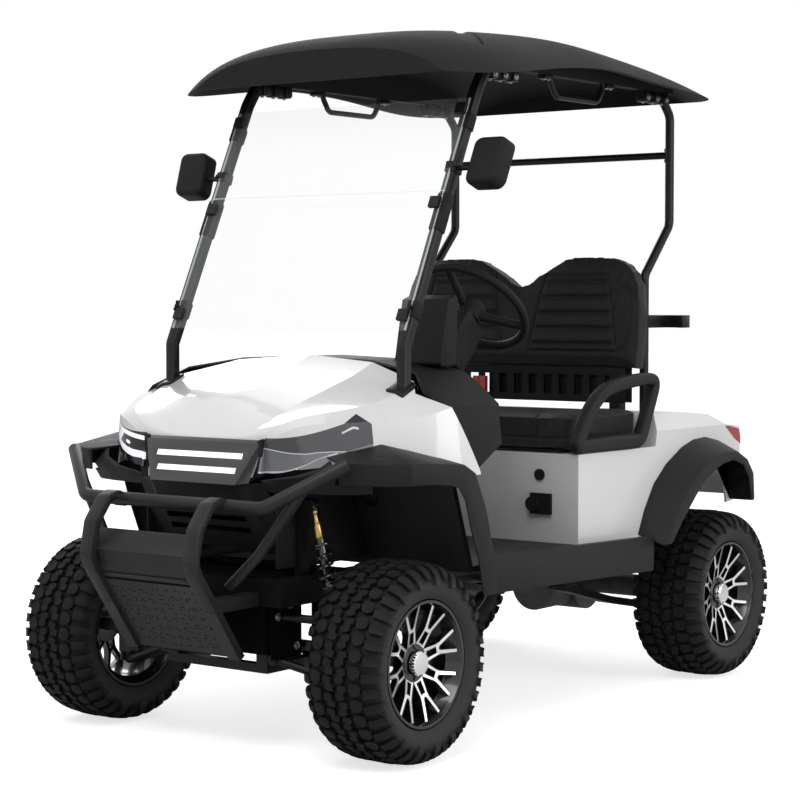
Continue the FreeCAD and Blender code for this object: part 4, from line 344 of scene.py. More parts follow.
def glowing(name, colour, strength):
    """Diffused white light guide with a faint grain."""
    paint = Paint(name)
    cloud = paint.noise(60.0)
    tone = paint.mix(cloud, shade(colour, 0.95), colour)
    paint.give("Base Color", tone)
    paint.give("Emission Color", tone)
    paint.give("Emission Strength", strength)
    paint.give("Roughness", 0.3 + cloud * 0.1)
    return paint


def red_lens(colour):
    """Red tail lamp: prisms behind a glossy face."""
    paint = Paint("lamp_red", coat_weight=1.0, coat_roughness=0.03)
    ridge = within((paint.along("Y") * 900.0).sine(), 0.2, 1.0)
    paint.give("Base Color", paint.mix(ridge, shade(colour, 0.6), colour))
    paint.give("Emission Color", paint.mix(ridge, shade(colour, 0.1), shade(colour, 0.35)))
    paint.give("Emission Strength", 0.3)
    paint.give("Roughness", 0.12 + ridge * 0.08)
    return paint.bump(ridge, 0.0004)


def seat_base_enamel(colour):
    """Body enamel whose front panel has the dull speckled texture of the seat base; the panel's grey is
    partly that speckle and partly painted shade on the front face.
    """
    paint = Paint("seat_base_enamel", coat_roughness=0.03)
    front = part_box("rear_body")[0].y + 2 * MM
    panel = paint.along("Y") < front
    speckle = paint.noise(420.0, 4.0)
    grains = paint.ramp(speckle, 0.3, 0.7)
    # the panel's darker grey is partly its speckle and partly painted shade on the front face
    grey = paint.mix(grains, shade(colour, 0.5), shade(colour, 0.95))
    white = paint.mix(paint.noise(6.0, 4.0), shade(colour, 0.985), shade(colour, 1.015))
    paint.give("Base Color", paint.mix(panel, white, grey))
    paint.give("Roughness", 0.28 + panel * 0.3)
    paint.give("Coat Weight", 0.8 - panel * 0.8)
    return paint.bump(speckle * panel + paint.noise(420.0) * 0.1, 0.0003)


def rubber_mat(colour):
    """Floor mat with raised ribs along the cart."""
    paint = Paint("floor_mat")
    cloud = mottled(paint, colour, 0.2, 20.0)
    rib = paint.ramp((paint.along("X") * 420.0).sine(), -0.2, 0.4) * (paint.facing("Z") > 0.9)
    paint.give("Roughness", 0.6 + cloud * 0.2)
    return paint.bump(rib + paint.noise(600.0) * 0.1, 0.0012)


def wheel_gloss(colour):
    """Gloss black wheel enamel whose tone drifts a little at random."""
    paint = Paint("wheel_black", coat_weight=0.5, coat_roughness=0.06)
    cloud = mottled(paint, colour, 0.2, 30.0)
    paint.give("Roughness", 0.16 + cloud * 0.14)
    return paint.bump(paint.noise(500.0), 0.00005)


def make_paints(colours):
    """Every finish of the cart, by the name its pieces ask for."""
    black = colours.trim
    PAINTS.update({
        "body_white": enamel("body_white", colours.body),
        "seat_base": seat_base_enamel(colours.body),
        "trim_black": grained("trim_black", black, 0.46),
        "roof_black": grained("roof_black", shade(black, 1.05), 0.6, 620.0, 0.0005, 0.12),
        "tube_black": powder_coat("tube_black", shade(black, 0.6), 0.34),
        "guard_black": powder_coat("guard_black", shade(black, 1.15), 0.42),
        "chassis_black": powder_coat("chassis_black", shade(black, 0.35), 0.4),
        "gloss_black": gloss("gloss_black", shade(black, 0.8)),
        # near black and barely reflecting: painted shade for the skid slot, the dimples' holes and the dark
        # case
        "arch_black": grained("arch_black", shade(black, 0.15), 0.7, 900.0, 0.0002, 0.05),
        "grip_black": grained("grip_black", shade(black, 0.55), 0.5, 1400.0, 0.0003),
        "dash_black": grained("dash_black", shade(black, 0.6), 0.5, 700.0, 0.0004),
        "tyre_rubber": tyre_rubber(colours.rubber),
        "seat_vinyl": vinyl(colours.vinyl),
        "wheel_black": wheel_gloss(shade(black, 0.25)),
        "machined": brushed("machined_face", (0.92, 0.92, 0.93), 0.3),
        "chrome": brushed("chrome", (0.9, 0.9, 0.91), 0.08, (200.0, 200.0, 200.0)),
        "bare_steel": brushed("bare_steel", (0.42, 0.42, 0.43), 0.36),
        "cast_grey": cast_metal("cast_grey", (0.12, 0.12, 0.125)),
        "shock_gold": brushed("shock_gold", (0.62, 0.42, 0.13), 0.3),
        "clear_screen": clear_sheet("clear_screen", alpha=0.055, edge_high=(1.585, 1.588), edge_half=0.4425),
        "lamp_lens": lamp_face((0.9, 0.93, 1.0, 1.0)),
        "strip_white": glowing("strip_white", (0.93, 0.95, 1.0, 1.0), 0.75),
        "lamp_red": red_lens(colours.tail_lamp),
        "buckle_red": gloss("buckle_red", colours.buckle, 0.25),
        "battery_case": grained("battery_case", (0.03, 0.03, 0.034), 0.5),
        "floor_mat": rubber_mat(shade(black, 0.5)),
        "mirror_glass": brushed("mirror_glass", (0.8, 0.82, 0.84), 0.02, (1.0, 1.0, 1.0)),
    })


NODE_PAINTS = {
    "chassis_black": ["frame", "front_arms", "leaf_springs", "steering_rack"],
    "cast_grey": ["knuckle_left", "knuckle_right", "rear_axle"],
    "bare_steel": ["tie_rods", "pedals"],
    "body_white": ["front_cowl", "bag_well"],
    "seat_base": ["rear_body"],
    "lamp_lens": ["front_lamps"],
    "gloss_black": ["light_bar_panel"],
    "strip_white": ["light_strips"],
    "trim_black": ["bumper_cover", "front_flares", "rear_flares", "side_sills", "armrests"],
    "dash_black": ["dashboard", "steering_column", "side_ports", "seat_back_bracket"],
    "grip_black": ["steering_wheel", "side_mirrors"],
    "floor_mat": ["floor_pan"],
    "lamp_red": ["tail_lamps"],
    "battery_case": ["battery_pack"],
    "buckle_red": ["belt_buckles"],
    "tube_black": ["seat_pan", "front_struts", "rear_struts", "grab_handles", "windscreen_clips", "bag_rack"],
    "clear_screen": ["windscreen_lower", "windscreen_upper"],
    "roof_black": ["roof"],
    "guard_black": ["brush_guard"],
    "seat_vinyl": ["seat_cushion", "seat_back"],
    "tyre_rubber": ["tyre_" + corner for corner in CORNERS],
    "wheel_black": ["rim_" + corner for corner in CORNERS],
    "shock_gold": ["shock_absorbers"],
}


# mesh helpers

def middle(node):
    """Middle of a node's box."""
    low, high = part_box(node)
    return (low + high) / 2


def between(points, place):
    """Height of a line through the points at this place."""
    for (start, low), (end, high) in zip(points, points[1:]):
        if place <= end:
            return low + (high - low) * max(0.0, place - start) / (end - start)
    return points[-1][1]


def merged(node, reach=WELD * 2):
    """A bmesh of the node's own mesh, its loose triangles joined."""
    work = bmesh.new()
    work.from_mesh(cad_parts[node].data)
    bmesh.ops.remove_doubles(work, verts=work.verts, dist=reach)
    return work


def meshed(name, work):
    """A mesh of the bmesh, which is freed."""
    mesh = bpy.data.meshes.new(name)
    work.to_mesh(mesh)
    work.free()
    return mesh


def keep(name, work, paints, body, crease=35.0):
    """Makes a piece of the finished bmesh: welded, faces outwards, smooth up to the crease, on its body."""
    bmesh.ops.remove_doubles(work, verts=work.verts, dist=WELD)
    bmesh.ops.recalc_face_normals(work, faces=work.faces)
    return put(name, meshed(name, work), paints, body, crease)


def put(name, mesh, paints, body, crease):
    """Links a finished mesh as a piece, with its paints and the body that it rides on."""
    mesh.shade_smooth()
    mesh.set_sharp_from_angle(angle=math.radians(crease))
    for paint in paints:
        mesh.materials.append(PAINTS[paint].material)
    piece = bpy.data.objects.new(name, mesh)
    bpy.context.scene.collection.objects.link(piece)
    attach(piece, body)
    return piece


def soften(work, edges, width, segments=2, clamp=True):
    """Rounds edges off to this width."""
    bmesh.ops.bevel(work, geom=edges, offset=width, offset_type="OFFSET", affect="EDGES", segments=segments,
                    profile=0.5, material=-1, clamp_overlap=clamp)


def moved(work, verts, matrix):
    """Takes points to their place."""
    bmesh.ops.transform(work, matrix=matrix, verts=verts)


def edges_of(verts):
    """Every edge that meets these points, once."""
    return list({edge for vert in verts for edge in vert.link_edges})


def verts_of(made):
    """The points among what an operator made."""
    return [item for item in made["geom"] if isinstance(item, bmesh.types.BMVert)]


def spun(work, profile, steps):
    """A closed profile of (along X, radius) points carried round the X axis."""
    verts = [work.verts.new((x, 0.0, r)) for x, r in profile]
    edges = [work.edges.new((a, b)) for a, b in zip(verts, verts[1:] + verts[:1])]
    bmesh.ops.spin(work, geom=verts + edges, cent=(0, 0, 0), axis=(1, 0, 0), dvec=(0, 0, 0), angle=math.tau,
                   steps=steps, use_merge=True, use_duplicate=False)


def turned_copies(work, first, count):
    """Repeats what was made after the first vertices, in equal steps round the X axis."""
    verts = work.verts[first:]
    faces = list({face for vert in verts for face in vert.link_faces})
    bmesh.ops.spin(work, geom=verts + edges_of(verts) + faces, cent=(0, 0, 0), axis=(1, 0, 0), dvec=(0, 0, 0),
                   angle=math.tau * (count - 1) / count, steps=count - 1, use_merge=False, use_duplicate=True)


def aimed(start, direction):
    """Matrix that takes the Z axis to a direction from a start point."""
    return Matrix.Translation(start) @ Vector(direction).to_track_quat("Z", "Y").to_matrix().to_4x4()


def drum(work, start, direction, radius, length, edge=0.0, sides=24, narrow=1.0):
    """A round bar from a start point, with softened ends; its far end's radius is the narrow share."""
    made = bmesh.ops.create_cone(work, cap_ends=True, cap_tris=False, segments=sides, radius1=radius,
                                 radius2=radius * narrow, depth=length)
    verts = made["verts"]
    if edge:
        rims = {e for v in verts for e in v.link_edges if abs(e.verts[0].co.z - e.verts[1].co.z) < WELD}
        before = set(work.verts) - set(verts)
        soften(work, list(rims), edge)
        verts = [vert for vert in work.verts if vert not in before]
    moved(work, verts, aimed(start, direction) @ Matrix.Translation((0, 0, length / 2)))


def block(work, centre, size, edge, turn=None):
    """A box with softened edges."""
    before = set(work.verts)
    made = bmesh.ops.create_cube(work, size=1.0)
    moved(work, made["verts"], Matrix.Diagonal((*size, 1.0)))
    soften(work, edges_of(made["verts"]), edge)
    verts = [vert for vert in work.verts if vert not in before]
    moved(work, verts, Matrix.Translation(centre) @ (turn or Matrix.Identity(4)))


def bolt(work, start, direction, radius):
    """A washer and a hexagon head with softened corners, both sized by the head's radius."""
    direction = Vector(direction).normalized()
    start = Vector(start)
    drum(work, start, direction, radius * 1.55, length=radius * 0.22, edge=radius * 0.06, sides=16)
    head = start + direction * radius * 0.2
    drum(work, head, direction, radius, length=radius * 0.7, edge=radius * 0.12, sides=6)


def raised(work, outline, height, edge, inset, sink):
    """An outline raised along Z into a block with softened upper edges or, with an inset, a recessed top."""
    base = work.faces.new([work.verts.new((x, y, -sink)) for x, y in outline])
    if base.normal.z > 0:
        base.normal_flip()
    grown = bmesh.ops.extrude_face_region(work, geom=[base], use_keep_orig=True)
    top = next(item for item in grown["geom"] if isinstance(item, bmesh.types.BMFace))
    bmesh.ops.translate(work, verts=verts_of(grown), vec=(0, 0, height + sink))
    work.normal_update()
    step, rise = (inset, -inset * 0.35) if inset else (edge, edge * 0.6)
    bmesh.ops.inset_region(work, faces=[top], thickness=step, depth=rise, use_even_offset=True)


def refined(node, paint, edge):
    """A piece of the node's own shell, with its triangles merged and its corners softened."""
    work = merged(node)
    bmesh.ops.dissolve_limit(work, angle_limit=FLAT, verts=work.verts, edges=work.edges,
                             use_dissolve_boundaries=False)
    sharp = [item for item in work.edges if item.is_manifold and item.calc_face_angle(0.0) > SHARP]
    soften(work, sharp, edge, clamp=False)
    piece = keep(node + "_shell", work, [paint], "chassis", crease=30.0)
    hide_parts(node)


def split(work, place, normal, clear_outer=False):
    """Cuts every face along a plane and, where asked, drops what lies on the normal's side."""
    return bmesh.ops.bisect_plane(work, geom=work.verts[:] + work.edges[:] + work.faces[:], dist=WELD,
                                  plane_co=place, plane_no=normal, clear_outer=clear_outer)


def cut(work, place, away):
    """Cuts off what lies on the away side of a plane and closes the cut."""
    made = split(work, place, away, clear_outer=True)
    edges = [item for item in made["geom_cut"] if isinstance(item, bmesh.types.BMEdge) and item.is_boundary]
    bmesh.ops.triangle_fill(work, edges=edges, use_beauty=True)
    bmesh.ops.recalc_face_normals(work, faces=work.faces[:])


def eased(share, before, start, end, after):
    """Value this share of the way from start to end, on a smooth curve through all four."""
    bend = 2 * before - 5 * start + 4 * end - after
    twist = 3 * start - before - 3 * end + after
    return 0.5 * (2 * start + (end - before) * share + bend * share * share + twist * share * share * share)


def rounded_section(deep, wide, edge):
    """Points (across, up) round a rectangle with rounded corners."""
    points = []
    for quarter in range(4):
        turn = quarter * math.pi / 2
        corner_across = math.copysign(deep / 2 - edge, math.cos(turn + math.pi / 4))
        corner_up = math.copysign(wide / 2 - edge, math.sin(turn + math.pi / 4))
        for bit in (0.0, 0.25, 0.5, 0.75, 1.0):
            angle = turn + bit * math.pi / 2
            points.append((corner_across + edge * math.cos(angle), corner_up + edge * math.sin(angle)))
    return points


def looped(work, points, x, deep, wide, edge):
    """A closed moulded bar of rounded section, smooth through points (y, z, share of the width)."""
    steps = 6
    line = []
    for index in range(len(points)):
        near = [points[(index + shift) % len(points)] for shift in (-1, 0, 1, 2)]
        for step in range(steps):
            line.append([eased(step / steps, *values) for values in zip(*near)])
    rings = []
    for index, (y, z, share) in enumerate(line):
        before = line[index - 1]
        after = line[(index + 1) % len(line)]
        run = Vector((0, after[0] - before[0], after[1] - before[1])).normalized()
        out = Vector((0, run.z, -run.y))
        rings.append([work.verts.new(Vector((x + across, y, z)) + out * up)
                      for across, up in rounded_section(deep, wide * share, edge)])
    for ring, following in zip(rings, rings[1:] + rings[:1]):
        for index in range(len(ring)):
            work.faces.new((ring[index - 1], ring[index], following[index], following[index - 1]))
    bmesh.ops.recalc_face_normals(work, faces=work.faces[:])


def coil(work, matrix, radius, wire, length, turns):
    """A round wire wound up the Z axis, its ends closed."""
    steps = turns * 20
    made = bmesh.ops.create_circle(work, cap_ends=False, segments=8, radius=wire)
    upright = Matrix.Translation((radius, 0, 0)) @ Matrix.Rotation(math.pi / 2, 4, "X")
    moved(work, made["verts"], upright)
    before = set(work.verts) - set(made["verts"])
    bmesh.ops.spin(work, geom=made["verts"] + edges_of(made["verts"]), cent=(0, 0, 0), axis=(0, 0, 1),
                   dvec=(0, 0, length / steps), angle=math.tau * turns, steps=steps, use_merge=False,
                   use_duplicate=False)
    wound = [vert for vert in work.verts if vert not in before]
    ends = [edge for edge in edges_of(wound) if edge.is_boundary]
    bmesh.ops.holes_fill(work, edges=ends, sides=0)
    moved(work, wound, matrix)


def wheel_matrix(corner):
    """From the wheel's own frame, with its face towards +X, to its place on the cart."""
    centre = middle("tyre_" + corner)
    turn = 0.0 if centre.x > 0 else math.pi
    return Matrix.Translation(centre) @ Matrix.Rotation(turn, 4, "Z")


# tyres

# half section from the middle of the tread to the bead: shares of the half width and of the sidewall's height
CROWN = ((0.0, 1.0), (0.2, 0.998), (0.4, 0.99), (0.6, 0.97), (0.75, 0.93), (0.86, 0.86), (0.93, 0.76),
         (0.975, 0.62), (0.99, 0.46), (0.975, 0.3), (0.93, 0.16), (0.87, 0.08), (0.865, 0.05), (0.84, 0.045),
         (0.8, 0.0))
# outlines of the tread's blocks: along the tread in pitches, and shares of the half width
ZIGZAG = ((0.02, 0.05), (0.3, 0.02), (0.45, 0.11), (0.78, 0.09), (0.93, 0.17), (0.9, 0.3), (0.62, 0.33),
          (0.47, 0.24), (0.17, 0.26), (0.03, 0.18))
OVAL = ((0.08, 0.45), (0.3, 0.385), (0.66, 0.38), (0.85, 0.46), (0.82, 0.61), (0.56, 0.68), (0.22, 0.665),
        (0.05, 0.57))
LONG_LUG = ((0.1, 0.72), (0.6, 0.7), (0.68, 0.9), (0.62, 1.17), (0.5, 1.2), (0.2, 1.2), (0.13, 1.17),
            (0.08, 0.92))
SHORT_LUG = ((0.12, 0.74), (0.62, 0.72), (0.68, 0.92), (0.62, 1.06), (0.2, 1.08), (0.1, 0.94))
# shares of the half width where blocks are cut, so that they bend round the shoulder
FOLDS = (0.8, 0.9, 1.0, 1.1, 1.2, 1.3)


def crown(sizes):
    """Half section of the carcass, from the middle of the tread to the bead, as (across, radius)."""
    half = sizes.tyre_width / 2
    reach = sizes.tread_radius - sizes.bead_radius
    return [(half * x, sizes.bead_radius + reach * r) for x, r in CROWN]


def wrapped(point, line, turn_radius):
    """Carries a point of the flat tread (along, across, height) on to the carcass."""
    along, across, height = point
    side = -1.0 if across < 0 else 1.0
    left = abs(across)
    for (x0, r0), (x1, r1) in zip(line, line[1:]):
        step = math.hypot(x1 - x0, r1 - r0)
        if left <= step:
            break
        left -= step
    share = left / step
    out = Vector((-(r1 - r0), x1 - x0)).normalized()
    x = x0 + (x1 - x0) * share + out.x * height
    radius = r0 + (r1 - r0) * share + out.y * height
    turn = along / turn_radius
    return Vector((side * x, radius * math.sin(turn), radius * math.cos(turn)))


def tread_pitch(work, sizes, pitch):
    """The blocks of one pair of pitches, laid out flat: along X, across Y, height Z."""
    half = sizes.tyre_width / 2
    edge = sizes.tread_depth * 0.12
    sink = 1.5 * MM
    for number, shoulder in enumerate((LONG_LUG, SHORT_LUG)):
        # outline, shift in pitches, recess of the top and share of the tread's depth
        blocks = ((ZIGZAG, 0.0, 0.0, 1.0), (OVAL, 0.3, 4 * MM, 0.98), (shoulder, 0.1, 5 * MM, 0.92))
        for side in (-1, 1):
            offset = number + (0.5 if side < 0 else 0.0)
            for shape, shift, inset, rise in blocks:
                outline = [((offset + shift + u) * pitch, side * v * half) for u, v in shape]
                raised(work, outline, sizes.tread_depth * rise, edge, inset, sink)


def make_tyre(sizes):
    """Carcass with zigzag, oval and shoulder blocks, and the knurled ring of the sidewall."""
    line = crown(sizes)
    half = sizes.tyre_width / 2
    wall = sizes.tread_radius - sizes.bead_radius
    work = bmesh.new()
    tread_pitch(work, sizes, math.tau * sizes.tread_radius / sizes.lug_count)
    for share in FOLDS:
        for side in (-1, 1):
            split(work, (0, side * share * half, 0), (0, 1, 0))
    for vert in work.verts:
        vert.co = wrapped(vert.co, line, sizes.tread_radius)
    turned_copies(work, 0, sizes.lug_count // 2)
    first = len(work.verts)
    knurl = (1.6 * MM, 3.2 * MM, 9 * MM)
    for side in (-1, 1):
        block(work, (side * half * 0.988, 0, sizes.bead_radius + wall * 0.6), knurl, 0.5 * MM)
    turned_copies(work, first, sizes.knurl_count)
    loop = line + [(-x, r) for x, r in reversed(line)][:-1]
    bead = sizes.bead_radius + 1.5 * MM
    spun(work, [(x, max(r, bead)) for x, r in loop], sizes.tyre_steps)
    bmesh.ops.recalc_face_normals(work, faces=work.faces)
    mesh = meshed("tyre", work)
    mark_sidewall(mesh, sizes.bead_radius + wall * 0.68)
    return mesh


def mark_sidewall(mesh, shoulder):
    """Notes how far each point is sidewall: none outside the shoulder's radius, all a little inside it."""
    marks = mesh.attributes.new("sidewall", "FLOAT", "POINT")
    fade = 8 * MM
    for vert, mark in zip(mesh.vertices, marks.data):
        share = (shoulder - math.hypot(vert.co.y, vert.co.z)) / fade
        mark.value = min(1.0, max(0.0, share))


# wheels

# the barrel's closed section: shares of the half width and of the radius
BARREL = ((1.0, 0.998), (1.0, 0.955), (0.945, 0.94), (0.9, 0.925), (0.64, 0.88), (0.58, 0.845),
          (-0.76, 0.845), (-0.9, 0.93), (-1.0, 0.955), (-1.0, 0.998), (-0.93, 0.985), (-0.8, 0.875),
          (0.61, 0.875), (0.86, 0.955), (0.93, 0.985))
# one half of a spoke's front as shares of the radius, across and out; the other half is its mirror image
SPOKE_FACES = (
    ((0.0, 0.27), (0.05, 0.27), (0.05, 0.33), (0.0, 0.33)),
    ((0.05, 0.27), (0.125, 0.27), (0.118, 0.33), (0.05, 0.33)),
    ((0.05, 0.33), (0.118, 0.33), (0.1, 0.52), (0.045, 0.51)),
    ((0.0, 0.51), (0.045, 0.51), (0.1, 0.52), (0.105, 0.585), (0.03, 0.6), (0.0, 0.58)),
    ((0.03, 0.6), (0.105, 0.585), (0.228, 0.955), (0.16, 0.965)),
)
# where the spokes begin, as a share of the radius
SPOKE_FOOT = 0.27
# the hub disc's closed section: forward of the spokes' face, and radius as a share of the hub's
HUB_BORE = 20 * MM
HUB_FACE = ((-34 * MM, 1.0), (-2 * MM, 1.0), (1 * MM, 0.95), (1 * MM, 0.7), (-8 * MM, 0.64))
# the cap's dome: forward of its front, and radius as a share of the cap's
CAP_DOME = ((-9 * MM, 0.94), (-6 * MM, 1.0), (0.0, 0.97), (3 * MM, 0.86), (4 * MM, 0.5))
CAP_BORE = 0.4 * MM
NUTS = 4
WHEEL_PAINTS = ["wheel_black", "machined", "chrome"]


def spoke(work, sizes, radius, face):
    """One forked spoke in an empty bmesh: two stems round a pocket, a web, two prongs, machined faces."""
    corners = {}
    faces = []
    for outline in SPOKE_FACES:
        for side in (-1, 1):
            ring = []
            for across, out in outline:
                point = (side * across, out)
                if point not in corners:
                    corners[point] = work.verts.new((0, side * across * radius, out * radius))
                if corners[point] not in ring:
                    ring.append(corners[point])
            faces.append(work.faces.new(ring if side > 0 else ring[::-1]))
    work.normal_update()
    for item in faces:
        if item.normal.x < 0:
            item.normal_flip()
    grown = bmesh.ops.extrude_face_region(work, geom=faces, use_keep_orig=True)
    bmesh.ops.translate(work, verts=verts_of(grown), vec=(-sizes.spoke_thick, 0, 0))
    work.normal_update()
    bmesh.ops.inset_region(work, faces=faces, thickness=sizes.spoke_border, depth=1.2 * MM,
                           use_even_offset=True)
    for item in faces:
        item.material_index = WHEEL_PAINTS.index("machined")
    for vert in work.verts:
        vert.co.x += face + (vert.co.z - radius * SPOKE_FOOT) * sizes.spoke_slope


def make_rim(sizes):
    """Forked spokes, stepped barrel, the hub disc with its nuts, and the chrome cap."""
    radius = sizes.bead_radius - 0.5 * MM
    half = sizes.rim_width / 2
    face = half * 0.6
    sides = 48
    work = bmesh.new()
    spoke(work, sizes, radius, face)
    turned_copies(work, 0, sizes.spoke_count)
    bmesh.ops.rotate(work, cent=(0, 0, 0), matrix=Matrix.Rotation(sizes.spoke_turn, 3, "X"), verts=work.verts)
    spun(work, [(half * x, radius * r) for x, r in BARREL], sizes.tyre_steps)
    hub = radius * 0.31
    disc = [(face + x, hub * r) for x, r in HUB_FACE]
    spun(work, disc + [(disc[-1][0], HUB_BORE), (disc[0][0], HUB_BORE)], sides)
    foot = face - 9 * MM
    front = face + 22 * MM
    dome = [(front + x, sizes.cap_radius * r) for x, r in CAP_DOME]
    first = len(work.faces)
    spun(work, [(foot, dome[0][1])] + dome + [(dome[-1][0], CAP_BORE), (foot, CAP_BORE)], sides)
    work.faces.ensure_lookup_table()
    for item in work.faces[first:]:
        item.material_index = WHEEL_PAINTS.index("chrome")
    first = len(work.verts)
    drum(work, (face - 3 * MM, 0, hub * 0.82), (1, 0, 0), radius=6 * MM, length=8 * MM, edge=1 * MM, sides=6)
    turned_copies(work, first, NUTS)
    bmesh.ops.recalc_face_normals(work, faces=work.faces)
    return meshed("rim", work)


# padded pieces

def stuffed(name, node, sizes, cap):
    """A padded form of a soft solid: evened out, blown up as cloth, made finer and scaled to its box."""
    pad = bpy.data.objects.new(name, meshed(name, merged(node, WELD * 10)))
    bpy.context.scene.collection.objects.link(pad)
    even = pad.modifiers.new("even", "REMESH")
    even.mode = "VOXEL"
    even.voxel_size = sizes.cell
    mesh = applied(pad)
    start = [vert.co - vert.normal * cap * 0.5 for vert in mesh.vertices]
    for vert, place in zip(mesh.vertices, start):
        vert.co = place
    pad.data = mesh
    blow_up(pad, sizes, start, cap)
    smooth = pad.modifiers.new("finer", "SUBSURF")
    smooth.levels = smooth.render_levels = 1
    mesh = applied(pad)
    bpy.data.objects.remove(pad)
    fit(mesh, node, sizes.fuller)
    return mesh


def blow_up(pad, sizes, start, cap):
    """Runs the pad as cloth under pressure and holds each point within the cap of where it began."""
    cloth = pad.modifiers.new("stuffing", "CLOTH")
    cloth.settings.use_pressure = True
    cloth.settings.uniform_pressure_force = sizes.pressure
    cloth.settings.effector_weights.gravity = 0.0
    cloth.settings.tension_stiffness = 12.0
    cloth.settings.compression_stiffness = 12.0
    cloth.settings.bending_stiffness = 0.8
    cloth.collision_settings.use_collision = False
    cloth.point_cache.frame_start = 1
    cloth.point_cache.frame_end = sizes.frames
    for step in range(1, sizes.frames + 1):
        bpy.context.scene.frame_set(step)
    mesh = applied(pad)
    for vert, place in zip(mesh.vertices, start):
        change = vert.co - place
        if change.length > cap:
            vert.co = place + change.normalized() * cap
    pad.data = mesh
    bpy.context.scene.frame_set(1)


def fit(mesh, node, fuller):
    """Scales a pad to its node's box, made fuller by this much on every side."""
    low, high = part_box(node)
    spread = [(min(column), max(column)) for column in zip(*(vert.co for vert in mesh.vertices))]
    for vert in mesh.vertices:
        for axis, (least, most) in enumerate(spread):
            share = (vert.co[axis] - least) / (most - least)
            vert.co[axis] = low[axis] - fuller + share * (high[axis] - low[axis] + 2 * fuller)


def applied(piece):
    """The piece's mesh with its modifiers, which are then taken off."""
    graph = bpy.context.evaluated_depsgraph_get()
    mesh = bpy.data.meshes.new_from_object(piece.evaluated_get(graph))
    piece.modifiers.clear()
    return mesh


def pressed(mesh, depth_at):
    """Moves each point of a pad inwards by the depth that its place and its normal give."""
    normals = [vert.normal.copy() for vert in mesh.vertices]
    for vert, normal in zip(mesh.vertices, normals):
        vert.co -= normal * depth_at(vert.co, normal)


def groove(distance, width, depth):
    """Depth of a sewn line at this distance from it."""
    return depth * math.exp(-((distance / width) ** 2))


# property groups

def colour_field(name, description, default):
    return bpy.props.FloatVectorProperty(name=name, description=description, subtype="COLOR", size=4,
                                         default=default)


def length_field(name, description, default):
    return bpy.props.FloatProperty(name=name, description=description, unit="LENGTH", default=default)


def sizes_field(name, description, default):
    return bpy.props.FloatVectorProperty(name=name, description=description, subtype="XYZ", unit="LENGTH",
                                         default=default)


def angle_field(name, description, degrees):
    return bpy.props.FloatProperty(name=name, description=description, subtype="ANGLE",
                                   default=math.radians(degrees))


def number_field(name, description, default):
    return bpy.props.FloatProperty(name=name, description=description, default=default)


def count_field(name, description, default):
    return bpy.props.IntProperty(name=name, description=description, default=default)


class CartColours(bpy.types.PropertyGroup):
    body: colour_field("Body", "Body enamel", (0.74, 0.745, 0.75, 1.0))
    trim: colour_field("Trim", "Moulded black plastic", (0.014, 0.014, 0.0145, 1.0))
    rubber: colour_field("Rubber", "Tyre tread", (0.008, 0.008, 0.008, 1.0))
    vinyl: colour_field("Vinyl", "Seat cover", (0.006, 0.006, 0.006, 1.0))
    tail_lamp: colour_field("Tail lamp", "Red lens", (0.5, 0.01, 0.015, 1.0))
    buckle: colour_field("Buckle", "Belt buckle", (0.45, 0.02, 0.02, 1.0))


class CartWheels(bpy.types.PropertyGroup):
    tyre_width: length_field("Tyre width", "Across the sidewalls", 0.24)
    tread_radius: length_field("Carcass radius", "To the bottom of the tread", 0.266)
    bead_radius: length_field("Bead radius", "Where tyre meets rim", 0.176)
    tread_depth: length_field("Tread depth", "Height of the blocks", 0.0128)
    lug_count: count_field("Lugs", "Shoulder lugs a side", 38)
    knurl_count: count_field("Knurls", "Ribs of the sidewall ring", 132)
    tyre_steps: count_field("Steps", "Facets round the wheel", 96)
    rim_width: length_field("Rim width", "Across the flanges", 0.206)
    cap_radius: length_field("Cap radius", "Chrome centre cap", 0.034)
    spoke_count: count_field("Spokes", "Forked spokes", 8)
    spoke_thick: length_field("Spoke depth", "Front to back", 0.02)
    spoke_border: length_field("Spoke border", "Black edge round the machined face", 0.002)
    spoke_slope: number_field("Spoke slope", "Rise towards the flange", 0.26)
    spoke_turn: angle_field("Spoke turn", "Rest angle of the spokes", 17.0)


class CartSeats(bpy.types.PropertyGroup):
    back_spread: number_field("Back spread", "Widening of the stuffed backrest", 1.035)
    fuller: length_field("Fuller", "How far the padding stands over the frame's box", 0.007)
    cell: length_field("Cell", "Size of the evened mesh", 0.008)
    pressure: number_field("Pressure", "Pressure of the stuffing", 4.0)
    frames: count_field("Frames", "Steps of the simulation", 20)
    cushion_cap: length_field("Cushion swell", "Most that the cushion moves", 0.012)
    back_cap: length_field("Back swell", "Most that the back moves", 0.012)
    channel_pitch: length_field("Channel pitch", "Between sewn channels", 0.052)
    channel_depth: length_field("Channel depth", "Depth of a sewn channel", 0.009)


class CartFittings(bpy.types.PropertyGroup):
    edge: length_field("Edge", "Softening of moulded corners", 0.0015)
    shock_foot_x: length_field("Shock foot", "Lower eye from the middle", 0.362)
    shock_top_x: length_field("Shock top", "Upper eye from the middle", 0.290)
    shock_top_y: length_field("Shock top, along", "Upper eye along the cart", -0.815)
    shock_eye: length_field("Shock eye", "Radius of the eyes", 0.014)
    spring_radius: length_field("Spring radius", "To the middle of the wire", 0.0245)
    spring_wire: length_field("Spring wire", "Radius of the wire", 0.0045)
    spring_turns: count_field("Spring turns", "Turns of the wire", 10)
    mirror_place: sizes_field("Mirror", "Middle of the left mirror", (0.568, -0.353, 1.664))
    mirror_size: sizes_field("Mirror size", "Width, depth and height", (0.112, 0.056, 0.146))
    mirror_lean: angle_field("Mirror lean", "Tilt of the housing", 20.0)
    bolt: length_field("Bolt", "Radius of a bolt head", 0.0065)
    strut_x: length_field("Strut", "Struts from the middle", 0.443)
    dimple: length_field("Dimple", "Radius of a skid panel dimple", 0.0028)
    arch_x: length_field("Arch", "The cover's sides open from here out", 0.236)
    arch_z: length_field("Arch top", "Height where the opening ends", 0.742)


